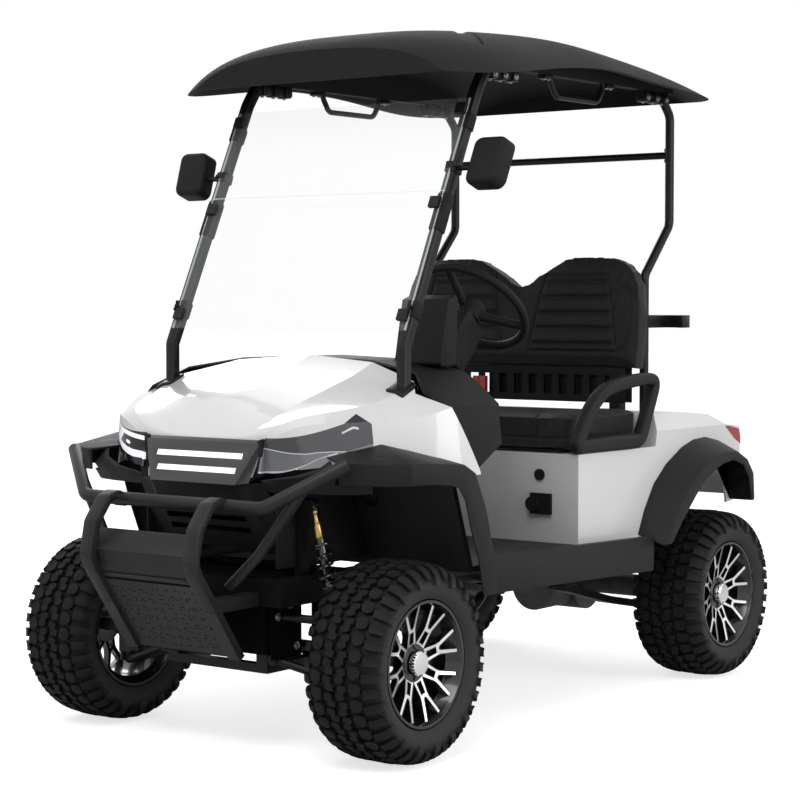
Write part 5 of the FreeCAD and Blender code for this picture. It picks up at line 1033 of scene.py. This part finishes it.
class CartView(bpy.types.PropertyGroup):
    place: sizes_field("Place", "Camera position", (3.99385, -5.34993, 1.27006))
    turn: bpy.props.FloatVectorProperty(name="Turn", description="Camera rotation", subtype="EULER",
                                        default=(math.radians(87.2854), 0.0, math.radians(36.856)))
    lens: number_field("Lens", "Focal length in millimetres", 94.718)
    sensor: number_field("Sensor", "Sensor width in millimetres", 36.0)
    sky: number_field("Sky", "Strength of the even light", 0.5)
    key: number_field("Key", "Power of the key softbox", 125.0)
    fill: number_field("Fill", "Power of the side softbox", 70.0)


# operators

class CART_OT_finishes(bpy.types.Operator):
    """Paints every piece of the frame"""
    bl_idname = "cart.finishes"
    bl_label = "Finishes"

    def execute(self, context):
        make_paints(context.scene.cart_colours)
        for paint, names in NODE_PAINTS.items():
            for name in names:
                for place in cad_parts[name].material_slots:
                    place.material = PAINTS[paint].material
        return {"FINISHED"}


class CART_OT_tyres(bpy.types.Operator):
    """Makes the four treaded tyres"""
    bl_idname = "cart.tyres"
    bl_label = "Tyres"

    def execute(self, context):
        mesh = make_tyre(context.scene.cart_wheels)
        for corner in CORNERS:
            copy = mesh.copy()
            copy.transform(wheel_matrix(corner))
            piece = put("tread_" + corner, copy, ["tyre_rubber"], "wheel_" + corner, crease=28.0)
            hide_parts("tyre_" + corner)
        return {"FINISHED"}


class CART_OT_rims(bpy.types.Operator):
    """Makes the four wheels with forked spokes"""
    bl_idname = "cart.rims"
    bl_label = "Rims"

    def execute(self, context):
        mesh = make_rim(context.scene.cart_wheels)
        for corner in CORNERS:
            copy = mesh.copy()
            copy.transform(wheel_matrix(corner))
            piece = put("alloy_" + corner, copy, WHEEL_PAINTS, "wheel_" + corner, crease=30.0)
            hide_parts("rim_" + corner)
        return {"FINISHED"}


# metres from the middle, and how far the top edge lies under the lobe's crown there
LOBE_DROPS = ((0.0, 0.097), (0.03, 0.09), (0.065, 0.062), (0.13, 0.024), (0.165, 0.007), (0.2, 0.0),
              (0.34, 0.0), (0.39, 0.01), (0.425, 0.031), (0.45, 0.075), (0.47, 0.15))


class CART_OT_seat_back(bpy.types.Operator):
    """Stuffs the two-lobed backrest and sews its channels"""
    bl_idname = "cart.seat_back"
    bl_label = "Seat back"

    def execute(self, context):
        sizes = context.scene.cart_seats
        low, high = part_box("seat_back")
        mesh = stuffed("backrest", "seat_back", sizes, sizes.back_cap)
        self.shape_lobes(mesh, low.z)
        for vert in mesh.vertices:
            vert.co.x *= sizes.back_spread
        pressed(mesh, self.seams(sizes, low, high))
        piece = put("backrest", mesh, ["seat_vinyl"], "chassis", crease=180.0)
        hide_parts("seat_back")
        return {"FINISHED"}

    def shape_lobes(self, mesh, base):
        """Widens each lobe's crown and narrows the valley between them, more so towards the top."""
        cell = 12 * MM
        rise = 0.12
        tops = {}
        for vert in mesh.vertices:
            column = round(abs(vert.co.x) / cell)
            tops[column] = max(tops.get(column, base), vert.co.z)
        peak = max(tops.values())
        now = sorted((column * cell, height) for column, height in tops.items())
        wanted = [(x, peak - drop) for x, drop in LOBE_DROPS]
        for vert in mesh.vertices:
            x = abs(vert.co.x)
            height = vert.co.z - base
            change = (between(wanted, x) - base) / (between(now, x) - base)
            vert.co.z = base + height * (1.0 + (change - 1.0) * min(1.0, height / rise))

    def seams(self, sizes, low, high):
        """Depth of the seam round a lobe, its cross channels and the round seam of the bolster beside it."""
        tall = high.z - low.z
        middle_z = low.z + tall * 0.5
        half_high = tall * 0.36
        lobe_x = high.x * 0.5
        lobe_half = high.x * 0.33
        taper = 0.16
        bolster_x = high.x * 0.915
        bolster_drop = tall * 0.04
        bolster_radius = tall * 0.3
        bolster_squeeze = 0.3
        fade_in = 18 * MM
        least_front = 0.2

        def depth_at(place, normal):
            if -normal.y < least_front:
                return 0.0
            z = place.z - middle_z
            across = abs(abs(place.x) - lobe_x) - lobe_half * (1.0 - taper * z / half_high)
            up = abs(z) - half_high
            outside = math.hypot(max(across, 0.0), max(up, 0.0)) + min(max(across, up), 0.0)
            depth = groove(outside, width=4 * MM, depth=sizes.channel_depth * 0.6)
            if outside < 0:
                phase = z / sizes.channel_pitch
                nearest = abs(phase - round(phase)) * sizes.channel_pitch
                fade = min(1.0, -outside / fade_in)
                depth += groove(nearest, width=7 * MM, depth=sizes.channel_depth) * fade
                return depth - sizes.channel_depth * 0.5 * fade
            reach = math.hypot((abs(place.x) - bolster_x) / bolster_squeeze, z + bolster_drop)
            return depth + groove(reach - bolster_radius, width=5 * MM, depth=sizes.channel_depth * 0.45)

        return depth_at


class CART_OT_cushion(bpy.types.Operator):
    """Stuffs the bench cushion and sews its side bolsters"""
    bl_idname = "cart.cushion"
    bl_label = "Bench cushion"

    def execute(self, context):
        sizes = context.scene.cart_seats
        low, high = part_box("seat_cushion")
        mesh = stuffed("bench", "seat_cushion", sizes, sizes.cushion_cap)
        pressed(mesh, self.seams(sizes, low, high))
        piece = put("bench", mesh, ["seat_vinyl"], "seat_lid", crease=180.0)
        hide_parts("seat_cushion")
        return {"FINISHED"}

    def seams(self, sizes, low, high):
        """Depth of a bolster's curved seam, the hollow between the bolsters and the seam along the front."""
        length = high.y - low.y
        tall = high.z - low.z
        underside = low.z + tall * 0.12
        front_seam = low.z + tall * 0.34
        seam_x = 0.79
        seam_bow = 0.1
        hollow = 15 * MM
        hollow_fade = 0.09
        least_up = 0.3
        most_up = 0.6

        def depth_at(place, normal):
            if place.z < underside:
                return 0.0
            arch = math.sin(math.pi * min(1.0, max(0.0, (place.y - low.y) / length)))
            across = abs(place.x) - high.x * (seam_x - seam_bow * arch)
            depth = groove(across, width=5 * MM, depth=sizes.channel_depth * 0.6)
            if across < 0 and normal.z > least_up:
                depth += hollow * min(1.0, -across / hollow_fade) * arch
            if normal.z < most_up:
                depth += groove(place.z - front_seam, width=3 * MM, depth=sizes.channel_depth * 0.4)
            return depth

        return depth_at


# node, its paint, the name of its slot, and the softening of its corners as a share of the edge
SHELLS = (
    ("front_flares", "trim_black", "trim_black", 1.6),
    ("rear_flares", "trim_black", "trim_black", 1.6),
    ("side_sills", "trim_black", "trim_black", 2.0),
    ("dashboard", "dash_black", "trim_black", 2.0),
    ("light_bar_panel", "gloss_black", "gloss_black", 0.7),
    ("steering_column", "dash_black", "trim_black", 3.0),
    ("seat_back_bracket", "dash_black", "trim_black", 0.6),
    ("brush_guard", "guard_black", "guard_black", 1.0),
    ("front_struts", "tube_black", "tube_black", 1.2),
    ("bag_rack", "tube_black", "tube_black", 1.0),
)


class CART_OT_shells(bpy.types.Operator):
    """Softens the corners of the moulded and folded parts"""
    bl_idname = "cart.shells"
    bl_label = "Moulded shells"

    def execute(self, context):
        for node, paint, slot_name, share in SHELLS:
            refined(node, paint, context.scene.cart_fittings.edge * share)
        return {"FINISHED"}


class CART_OT_wheel_pad(bpy.types.Operator):
    """Adds the steering wheel's hub pad"""
    bl_idname = "cart.wheel_pad"
    bl_label = "Steering wheel pad"

    def execute(self, context):
        low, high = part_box("steering_wheel")
        centre = middle("steering_wheel")
        face = Vector((0, high.z - low.z, high.y - low.y)).normalized()
        work = bmesh.new()
        drum(work, centre - face * 20 * MM, face, radius=46 * MM, length=26 * MM, edge=6 * MM, sides=40)
        drum(work, centre + face * 6 * MM, face, radius=27 * MM, length=3 * MM, edge=1 * MM, sides=32)
        keep("wheel_pad", work, ["dash_black"], "steering_wheel")
        return {"FINISHED"}


# the damper's tube as a share of the spring's radius, and its plates as shares of its length
DAMPER_TUBE = 0.66
DAMPER_PLATES = (0.13, 0.76)


class CART_OT_shocks(bpy.types.Operator):
    """Winds the springs round the dampers, with their brass ends and ball joints"""
    bl_idname = "cart.shocks"
    bl_label = "Shock absorbers"

    def execute(self, context):
        sizes = context.scene.cart_fittings
        low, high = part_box("shock_absorbers")
        foot_y = middle("rim_front_left").y
        for name, side in SIDES:
            foot = Vector((side * sizes.shock_foot_x, foot_y, low.z + sizes.shock_eye))
            top = Vector((side * sizes.shock_top_x, sizes.shock_top_y, high.z - sizes.shock_eye))
            piece = self.damper("damper_" + name, sizes, foot, top)
            self.collar("damper_collar_" + name, sizes, foot, top)
            if side > 0:
                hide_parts("shock_absorbers")
        return {"FINISHED"}

    def damper(self, name, sizes, foot, top):
        """Rod, the two tubes of the body, both spring plates, the spring and an eye at each end."""
        axis = (top - foot).normalized()
        length = (top - foot).length
        eye = sizes.shock_eye
        tube = sizes.spring_radius * DAMPER_TUBE
        edge = 2 * MM
        work = bmesh.new()
        drum(work, foot, axis, radius=tube * 0.45, length=length, sides=16)
        drum(work, foot + axis * eye * 1.2, axis, radius=tube, length=length * 0.5, edge=edge)
        drum(work, foot + axis * length * 0.55, axis, radius=tube * 0.9, length=length * 0.26, edge=edge)
        for share in DAMPER_PLATES:
            plate = foot + axis * length * share
            drum(work, plate, axis, radius=sizes.spring_radius * 1.15, length=7 * MM, edge=1.5 * MM, sides=28)
        coil(work, aimed(foot + axis * length * 0.145, axis), sizes.spring_radius, sizes.spring_wire,
             length * 0.61, sizes.spring_turns)
        for end in (foot, top):
            drum(work, end - Vector((0, eye * 1.1, 0)), (0, 1, 0), radius=eye, length=eye * 2.2, edge=edge)
        return keep(name, work, ["gloss_black"], "chassis")

    def collar(self, name, sizes, foot, top):
        """The brass cylinder under the upper eye, its cone and its ball joint."""
        axis = (top - foot).normalized()
        length = (top - foot).length
        tube = sizes.spring_radius * DAMPER_TUBE
        edge = 2 * MM
        high = length * 0.1
        work = bmesh.new()
        drum(work, foot + axis * length * 0.8, axis, radius=tube * 0.8, length=high, edge=edge)
        drum(work, foot + axis * length * 0.87, axis, radius=tube * 0.62, length=high, edge=edge, narrow=0.9)
        ball = bmesh.ops.create_uvsphere(work, u_segments=20, v_segments=12, radius=sizes.shock_eye * 0.85)
        moved(work, ball["verts"], Matrix.Translation(top - axis * sizes.shock_eye * 1.1))
        keep(name, work, ["shock_gold"], "chassis", crease=40.0)


# along and up the loop as shares of its box, and the bar's share of its full width
ARM_LINE = ((0.0, 0.0, 1.0), (0.03, 0.16, 1.0), (0.12, 0.45, 1.0), (0.22, 0.68, 1.0), (0.36, 0.86, 1.0),
            (0.56, 0.95, 1.0), (0.8, 1.0, 1.0), (0.96, 1.0, 0.95), (1.0, 0.9, 0.95), (0.96, 0.66, 0.9),
            (0.9, 0.38, 0.9), (0.84, 0.12, 1.0), (0.79, 0.02, 1.1), (0.7, 0.0, 1.2), (0.4, 0.0, 1.2),
            (0.1, 0.0, 1.1))


class CART_OT_armrests(bpy.types.Operator):
    """Makes the moulded hip restraint loops"""
    bl_idname = "cart.armrests"
    bl_label = "Armrests"

    def execute(self, context):
        low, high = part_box("armrests")
        half = 20 * MM
        lift = 4 * MM
        length = high.y - low.y - 2 * half
        height = high.z - low.z - 2 * half - lift
        points = [(low.y + half + y * length, low.z + half + lift + z * height, share)
                  for y, z, share in ARM_LINE]
        for name, side in SIDES:
            work = bmesh.new()
            looped(work, points, side * (high.x - 22 * MM), deep=42 * MM, wide=2 * half, edge=12 * MM)
            arm = keep("armrest_" + name, work, ["trim_black"], "chassis", crease=60.0)
            if side > 0:
                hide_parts("armrests")
        return {"FINISHED"}


class CART_OT_mirrors(bpy.types.Operator):
    """Makes the door mirrors with their glass and clamps"""
    bl_idname = "cart.mirrors"
    bl_label = "Mirrors"

    def execute(self, context):
        sizes = context.scene.cart_fittings
        for name, side in SIDES:
            place = Vector(sizes.mirror_place)
            place.x *= side
            lean = Matrix.Rotation(-sizes.mirror_lean, 4, "X")
            housing = self.housing("mirror_" + name, sizes, place, lean, side)
            self.arm("mirror_arm_" + name, sizes, place, lean, side)
            if side > 0:
                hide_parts("side_mirrors")
        return {"FINISHED"}

    def housing(self, name, sizes, place, lean, side):
        """Rounded shell, leaning out a little towards its top, with the glass let into its back."""
        outwards_over_height = 0.07
        shear = Matrix.Identity(4)
        shear[0][2] = outwards_over_height * side
        work = bmesh.new()
        made = bmesh.ops.create_cube(work, size=1.0)
        moved(work, made["verts"], Matrix.Diagonal((*sizes.mirror_size, 1.0)))
        deep = [e for e in work.edges if abs(e.verts[0].co.y - e.verts[1].co.y) > WELD]
        soften(work, deep, 26 * MM, segments=5)
        front = [e for e in work.edges if e.verts[0].co.y < 0 and e.verts[1].co.y < 0]
        soften(work, front, 16 * MM, segments=4)
        glass = [f for f in work.faces if f.normal.y > 0.9]
        for thickness, depth in ((5 * MM, 0.0), (1 * MM, -3 * MM)):
            bmesh.ops.inset_region(work, faces=glass, thickness=thickness, depth=depth, use_even_offset=True)
        for item in glass:
            item.material_index = 1
        moved(work, work.verts, Matrix.Translation(place) @ lean @ shear)
        return keep(name, work, ["grip_black", "mirror_glass"], "chassis", crease=40.0)

    def arm(self, name, sizes, place, lean, side):
        """Rod from the strut to the mirror, with the clamp and its bolt."""
        clamp = Vector((side * sizes.strut_x, place.y, place.z - 12 * MM))
        start = clamp + Vector((side * 14 * MM, 0, 0))
        length = abs(place.x) - abs(start.x) - 30 * MM
        work = bmesh.new()
        drum(work, start, (side, 0, 0), radius=8 * MM, length=length, edge=1 * MM, sides=16)
        block(work, clamp, size=(38 * MM, 40 * MM, 34 * MM), edge=4 * MM, turn=lean)
        bolt(work, start + Vector((0, -20 * MM, 6 * MM)), (0, -1, 0.3), radius=5 * MM)
        keep(name, work, ["tube_black"], "chassis")


# the lens's upper and lower outline in millimetres: sideways plus back from the nose, and height
LENS_TOP = ((222, 883), (300, 894), (384, 905), (436, 915), (472, 922), (555, 957), (621, 931), (700, 925))
LENS_FOOT = ((222, 794), (289, 797), (321, 804), (371, 817), (413, 833), (469, 846), (509, 853), (564, 864),
             (633, 878))
# on the same scale, where the lens starts, how far it runs, and the nose's place along the cart
LENS_START = 220
LENS_RUN = 413
NOSE_Y = -937
# in metres, where the lens is cut off towards the middle and below
LENS_INNER_X = 217 * MM
LENS_CUT_Z = 0.7938
# corners of the black filler at the lens's inner end, as (from the middle, height)
FILLER = ((0.208, 0.884), (0.222, 0.888), (0.224, 0.79), (0.160, 0.766))
FILLER_Y = -0.952


class CART_OT_lamps(bpy.types.Operator):
    """Makes the lamp faces, each point told how far along and up the lens it lies, and their fillers"""
    bl_idname = "cart.lamps"
    bl_label = "Headlamps"

    def execute(self, context):
        for name, side in SIDES:
            self.filler("lamp_filler_" + name, side)
            piece = self.lens("lamp_" + name, side)
            if side > 0:
                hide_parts("front_lamps")
        return {"FINISHED"}

    def filler(self, name, side):
        """The black piece between the lens and the bumper cover."""
        work = bmesh.new()
        front = work.faces.new([work.verts.new((side * x, FILLER_Y, z)) for x, z in FILLER])
        grown = bmesh.ops.extrude_face_region(work, geom=[front])
        bmesh.ops.translate(work, verts=verts_of(grown), vec=(0, 20 * MM, 0))
        keep(name, work, ["trim_black"], "chassis")

    def lens(self, name, side):
        """A finer copy of one lamp, with the marks that its finish reads."""
        work = merged("front_lamps")
        cut(work, (side * LENS_INNER_X, 0, 0), (-side, 0, 0))
        cut(work, (0, 0, LENS_CUT_Z), (0, 0, -1))
        bmesh.ops.triangulate(work, faces=work.faces[:])
        long_edges = [item for item in work.edges if item.calc_length() > 12 * MM]
        bmesh.ops.subdivide_edges(work, edges=long_edges, cuts=2)
        bmesh.ops.triangulate(work, faces=work.faces[:])
        up = work.verts.layers.float.new("up")
        along = work.verts.layers.float.new("along")
        for vert in work.verts:
            reach = (abs(vert.co.x) + vert.co.y) / MM - NOSE_Y
            low = between(LENS_FOOT, reach)
            high = between(LENS_TOP, reach)
            vert[up] = (vert.co.z / MM - low) / (high - low)
            vert[along] = (reach - LENS_START) / LENS_RUN
        return keep(name, work, ["lamp_lens"], "chassis", crease=20.0)


class CART_OT_cover(bpy.types.Operator):
    """Opens the bumper cover's sides into the wheel arches, and backs the openings and the slotted bracket"""
    bl_idname = "cart.cover"
    bl_label = "Bumper cover"

    def execute(self, context):
        sizes = context.scene.cart_fittings
        joined = bmesh.new()
        for side in (-1, 0, 1):
            part = self.part(sizes, side)
            joined.from_mesh(part)
            bpy.data.meshes.remove(part)
        cover = keep("bumper_shell", joined, ["trim_black"], "chassis", crease=30.0)
        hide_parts("bumper_cover")
        self.liners(sizes)
        self.backing()
        return {"FINISHED"}

    def part(self, sizes, side):
        """The cover between the arches or, for one side, what lies over that arch."""
        work = merged("bumper_cover")
        if side:
            cut(work, (side * sizes.arch_x, 0, 0), (-side, 0, 0))
            cut(work, (0, 0, sizes.arch_z), (0, 0, -1))
        else:
            cut(work, (sizes.arch_x, 0, 0), (1, 0, 0))
            cut(work, (-sizes.arch_x, 0, 0), (-1, 0, 0))
        return meshed("part", work)

    def liners(self, sizes):
        """The inner wall of each arch, with its two bolts."""
        work = bmesh.new()
        for side in (1, -1):
            block(work, centre=(side * 243 * MM, -0.70, 0.66), size=(6 * MM, 0.44, 0.27), edge=2 * MM)
            for y in (-0.6, -0.54):
                bolt(work, start=(side * 246 * MM, y, 0.74), direction=(side, 0, 0), radius=sizes.bolt)
        keep("arch_liners", work, ["grip_black"], "chassis")

    def backing(self):
        """The ribbed sheet behind the seat back's bracket."""
        height = 0.99
        ribs = range(-90, 430, 40)
        work = bmesh.new()
        block(work, centre=(155 * MM, 0.668, height), size=(0.57, 4 * MM, 0.116), edge=1 * MM)
        for x in ribs:
            block(work, centre=(x * MM, 0.664, height), size=(9 * MM, 8 * MM, 0.104), edge=2 * MM)
        keep("bracket_backing", work, ["grip_black"], "chassis")


# the skid panel's upper and lower edge at the middle, and the lip over its fold
SKID_TOP = Vector((0, -1.177, 0.509))
SKID_FOOT = Vector((0, -1.0261, 0.289))
SKID_LIP = Vector((0, -1.197, 0.579))
SKID_HALF = 0.165
# the case between the front arms: its middle along the cart, and its bolts as (along, height)
CASE_Y = -0.86
CASE_BOLTS = ((-0.915, 0.47), (-0.81, 0.46), (-0.9, 0.39), (-0.82, 0.3))


class CART_OT_guard_details(bpy.types.Operator):
    """Adds the skid panel's dimples, slot and fold, and the case behind it with its bolts and fittings"""
    bl_idname = "cart.guard_details"
    bl_label = "Brush guard details"

    def execute(self, context):
        sizes = context.scene.cart_fittings
        down = (SKID_FOOT - SKID_TOP).normalized()
        out = Vector((0, down.z, -down.y)).normalized()
        self.dimples(sizes, down, out)
        slope = Matrix.Rotation(math.atan2(down.y, -down.z), 4, "X")
        slot = SKID_TOP + down * (SKID_FOOT - SKID_TOP).length * 0.045 + out * 0.2 * MM
        fold = SKID_TOP - down * 4 * MM + out * 0.6 * MM
        work = bmesh.new()
        # the slot is a thin near-black block on the panel: painted shade for the opening
        block(work, slot, size=(0.33, 2 * MM, 7 * MM), edge=0.5 * MM, turn=slope)
        keep("skid_slot", work, ["arch_black"], "chassis")
        work = bmesh.new()
        block(work, fold, size=(0.36, 3 * MM, 9 * MM), edge=1 * MM, turn=slope)
        block(work, SKID_LIP - Vector((0, 0.3 * MM, 0)), size=(0.36, 2.4 * MM, 4 * MM), edge=0.8 * MM)
        keep("skid_fold", work, ["guard_black"], "chassis")
        self.case(sizes)
        return {"FINISHED"}

    def dimples(self, sizes, down, out):
        """Rows of small raised dots, each a little off its place, painted near black as painted shade for the
        dark holes they stand for.
        """
        length = (SKID_FOOT - SKID_TOP).length
        rows = 13
        first_row = 0.16
        rows_reach = 0.74
        pitch = 20 * MM
        sway = 7 * MM
        sink = 0.5 * MM
        work = bmesh.new()
        for row in range(rows):
            share = first_row + rows_reach * row / (rows - 1)
            for column in range(-8, 9):
                x = (column + 0.5 * (row % 2)) * pitch + sway * math.sin(row * 7.1 + column * 3.7)
                if abs(x) > SKID_HALF:
                    continue
                drift = 0.018 * math.sin(row * 3.3 + column * 5.9)
                place = SKID_TOP + down * length * (share + drift) + Vector((x, 0, 0)) - out * sink
                drum(work, place, out, radius=sizes.dimple, length=1.3 * MM, sides=8, narrow=0.6)
        keep("skid_dimples", work, ["arch_black"], "chassis")

    def case(self, sizes):
        """The dark case between the front arms, its side plates, bolts and brass fittings; the case is partly
        a real part and partly a near-black filler standing in for the shade behind the guard.
        """
        work = bmesh.new()
        # painted shade: the near-black case also fills the gaps that are shade under the nose
        block(work, centre=(0, CASE_Y, 0.397), size=(0.44, 0.17, 0.222), edge=8 * MM)
        for side in (-1, 1):
            block(work, centre=(side * 0.23, CASE_Y, 0.37), size=(6 * MM, 0.13, 0.2), edge=2 * MM)
        keep("front_case", work, ["arch_black"], "chassis")
        bolts = bmesh.new()
        fittings = bmesh.new()
        for side in (1, -1):
            for y, z in CASE_BOLTS:
                bolt(bolts, start=(side * 0.234, y, z), direction=(side, 0, 0), radius=sizes.bolt * 1.2)
            drum(fittings, start=(side * 0.232, -0.862, 0.42), direction=(side, 0, 0), radius=11 * MM,
                 length=16 * MM, edge=2 * MM, sides=20)
        keep("front_bolts", bolts, ["bare_steel"], "chassis")
        keep("brass_fittings", fittings, ["shock_gold"], "chassis")


# places along the canopy's side rails, and the rails' height
RAIL_Z = 1.946
SADDLES_Y = (-0.17, -0.115, -0.06, 0.725, 0.785, 0.845)
HANDLE_FEET_Y = (0.12, 0.485)
REAR_STRUT_Y = 0.904
REAR_BOLTS_Z = (1.776, 1.74)
# the front pillars: their slope as run over rise, a point on them, the feet of their wing screws, and their
# sleeves as (height, half length)
PILLAR_RUN = 0.354
PILLAR_RISE = 0.75
PILLAR_Y = -0.595
PILLAR_Z = 1.137
SCREW_Y = -0.546
SCREW_Z = 1.24
SLEEVES = ((1.52, 60 * MM), (1.24, 26 * MM), (1.79, 26 * MM))


class CART_OT_canopy_fittings(bpy.types.Operator):
    """Adds the saddle brackets with their bolts, the pillar sleeves and the screen's wing screws"""
    bl_idname = "cart.canopy_fittings"
    bl_label = "Canopy fittings"

    def execute(self, context):
        sizes = context.scene.cart_fittings
        brackets = bmesh.new()
        bolts = bmesh.new()
        for side in (1, -1):
            for y in SADDLES_Y:
                place = Vector((side * sizes.strut_x, y, RAIL_Z - 2 * MM))
                block(brackets, place, size=(42 * MM, 26 * MM, 38 * MM), edge=3 * MM)
                bolt(bolts, place + Vector((side * 21 * MM, 0, -4 * MM)), (side, 0, 0), sizes.bolt)
                bolt(bolts, place + Vector((0, 0, -19 * MM)), (0, 0, -1), sizes.bolt * 0.8)
            for y in HANDLE_FEET_Y:
                place = Vector((side * (sizes.strut_x + 8 * MM), y, RAIL_Z + 8 * MM))
                block(brackets, place, size=(30 * MM, 44 * MM, 12 * MM), edge=2 * MM)
                for shift in (-14 * MM, 14 * MM):
                    bolt(bolts, place + Vector((side * 4 * MM, shift, -6 * MM)), (0, 0, -1), sizes.bolt * 0.7)
            for z in REAR_BOLTS_Z:
                place = (side * (sizes.strut_x - 15 * MM), REAR_STRUT_Y, z)
                bolt(bolts, place, (-side, 0, 0), sizes.bolt * 0.8)
        keep("canopy_brackets", brackets, ["tube_black"], "chassis")
        keep("canopy_bolts", bolts, ["bare_steel"], "chassis")
        self.sleeves(sizes)
        return {"FINISHED"}

    def sleeves(self, sizes):
        """Sleeves round the front pillars, and a wing screw in front of each lower one."""
        up = Vector((0, PILLAR_RUN, PILLAR_RISE)).normalized()
        ahead = Vector((0, -up.z, up.y))
        slope = -math.atan2(up.y, up.z)
        work = bmesh.new()
        for side in (1, -1):
            for z, half in SLEEVES:
                y = PILLAR_Y + (z - PILLAR_Z) * PILLAR_RUN / PILLAR_RISE
                block(work, centre=(side * sizes.strut_x, y, z), size=(37 * MM, 37 * MM, 2 * half),
                      edge=4 * MM, turn=Matrix.Rotation(slope, 4, "X"))
            screw = Vector((side * (sizes.strut_x + 4 * MM), SCREW_Y, SCREW_Z)) + ahead * 18 * MM
            drum(work, screw, ahead, radius=6 * MM, length=16 * MM, edge=1 * MM, sides=16)
            for wing in (-1, 1):
                block(work, screw + ahead * 14 * MM + up * wing * 9 * MM, size=(4 * MM, 9 * MM, 16 * MM),
                      edge=1.5 * MM, turn=Matrix.Rotation(slope + wing * 0.4, 4, "X"))
        keep("pillar_sleeves", work, ["grip_black"], "chassis")


# softboxes: name, the light's power in the view's settings, size, place and what it is aimed at
LIGHTS = (
    ("key", "key", 3.0, (1.5, -3.5, 4.8), (0.0, 0.0, 0.7)),
    ("fill", "fill", 2.5, (5.0, 0.5, 2.2), (0.0, 0.2, 0.6)),
    ("back", "fill", 2.5, (-4.0, 3.5, 3.5), (0.0, 0.0, 0.8)),
)


class CART_OT_stage(bpy.types.Operator):
    """Sets the camera, the pale floor and the soft light"""
    bl_idname = "cart.stage"
    bl_label = "Stage"

    def execute(self, context):
        view = context.scene.cart_view
        scene = context.scene
        scene.view_settings.view_transform = "Standard"
        data = bpy.data.cameras.new("camera")
        data.lens = view.lens
        data.sensor_width = view.sensor
        data.sensor_fit = "HORIZONTAL"
        camera = bpy.data.objects.new("camera", data)
        camera.location = view.place
        camera.rotation_euler = view.turn
        scene.collection.objects.link(camera)
        scene.camera = camera
        self.light_room(scene, view)
        self.lay_floor(scene)
        return {"FINISHED"}

    def light_room(self, scene, view):
        """Even light from everywhere, a world that the camera sees as white, and the softboxes."""
        world = bpy.data.worlds.new("room")
        scene.world = world
        world.use_nodes = True
        tree = world.node_tree
        tree.nodes.clear()
        path = tree.nodes.new("ShaderNodeLightPath")
        seen = path.outputs["Is Camera Ray"]
        for ray in ("Is Transmission Ray", "Is Glossy Ray"):
            either = tree.nodes.new("ShaderNodeMath")
            either.operation = "MAXIMUM"
            tree.links.new(seen, either.inputs[0])
            tree.links.new(path.outputs[ray], either.inputs[1])
            seen = either.outputs[0]
        even = tree.nodes.new("ShaderNodeBackground")
        even.inputs["Strength"].default_value = view.sky
        white = tree.nodes.new("ShaderNodeBackground")
        mix = tree.nodes.new("ShaderNodeMixShader")
        out = tree.nodes.new("ShaderNodeOutputWorld")
        for background in (even, white):
            background.inputs["Color"].default_value = (1.0, 1.0, 1.0, 1.0)
        tree.links.new(seen, mix.inputs[0])
        tree.links.new(even.outputs[0], mix.inputs[1])
        tree.links.new(white.outputs[0], mix.inputs[2])
        tree.links.new(mix.outputs[0], out.inputs["Surface"])
        for name, power, size, place, aim in LIGHTS:
            lamp = bpy.data.lights.new(name, "AREA")
            lamp.energy = getattr(view, power)
            lamp.shape = "SQUARE"
            lamp.size = size
            thing = bpy.data.objects.new(name, lamp)
            thing.location = place
            thing.rotation_euler = (Vector(aim) - Vector(place)).to_track_quat("-Z", "Y").to_euler()
            scene.collection.objects.link(thing)

    def lay_floor(self, scene):
        """A pale matt floor that only the camera sees glow."""
        work = bmesh.new()
        bmesh.ops.create_grid(work, x_segments=1, y_segments=1, size=40.0)
        mesh = meshed("floor", work)
        floor = bpy.data.objects.new("floor", mesh)
        scene.collection.objects.link(floor)
        paint = Paint("floor")
        cloud = mottled(paint, (0.82, 0.82, 0.82, 1.0), 0.004, 2.0)
        paint.give("Roughness", 0.9 + cloud * 0.05)
        paint.give("Specular IOR Level", 0.0)
        paint.give("Emission Color", paint.node("ShaderNodeLightPath").outputs["Is Camera Ray"])
        paint.give("Emission Strength", 0.7)
        mesh.materials.append(paint.material)


class CART_PT_panel(bpy.types.Panel):
    """Lists the steps that dress the cart"""
    bl_label = "Golf cart"
    bl_idname = "CART_PT_panel"
    bl_space_type = "VIEW_3D"
    bl_region_type = "UI"
    bl_category = "Cart"

    def draw(self, context):
        for step in STEPS:
            self.layout.operator(step.bl_idname)


STEPS = (CART_OT_finishes, CART_OT_tyres, CART_OT_rims, CART_OT_seat_back, CART_OT_cushion, CART_OT_shells,
         CART_OT_wheel_pad, CART_OT_shocks, CART_OT_armrests, CART_OT_mirrors, CART_OT_lamps, CART_OT_cover,
         CART_OT_guard_details, CART_OT_canopy_fittings, CART_OT_stage)
GROUPS = (("cart_colours", CartColours), ("cart_wheels", CartWheels), ("cart_seats", CartSeats),
          ("cart_fittings", CartFittings), ("cart_view", CartView))


def register():
    for name, group in GROUPS:
        bpy.utils.register_class(group)
        setattr(bpy.types.Scene, name, bpy.props.PointerProperty(type=group))
    for step in STEPS + (CART_PT_panel,):
        bpy.utils.register_class(step)


def unregister():
    for step in (CART_PT_panel,) + STEPS[::-1]:
        bpy.utils.unregister_class(step)
    for name, group in GROUPS[::-1]:
        delattr(bpy.types.Scene, name)
        bpy.utils.unregister_class(group)


def main():
    register()
    for step in STEPS:
        family, verb = step.bl_idname.split(".")
        getattr(getattr(bpy.ops, family), verb)()


if __name__ == "__main__":
    main()
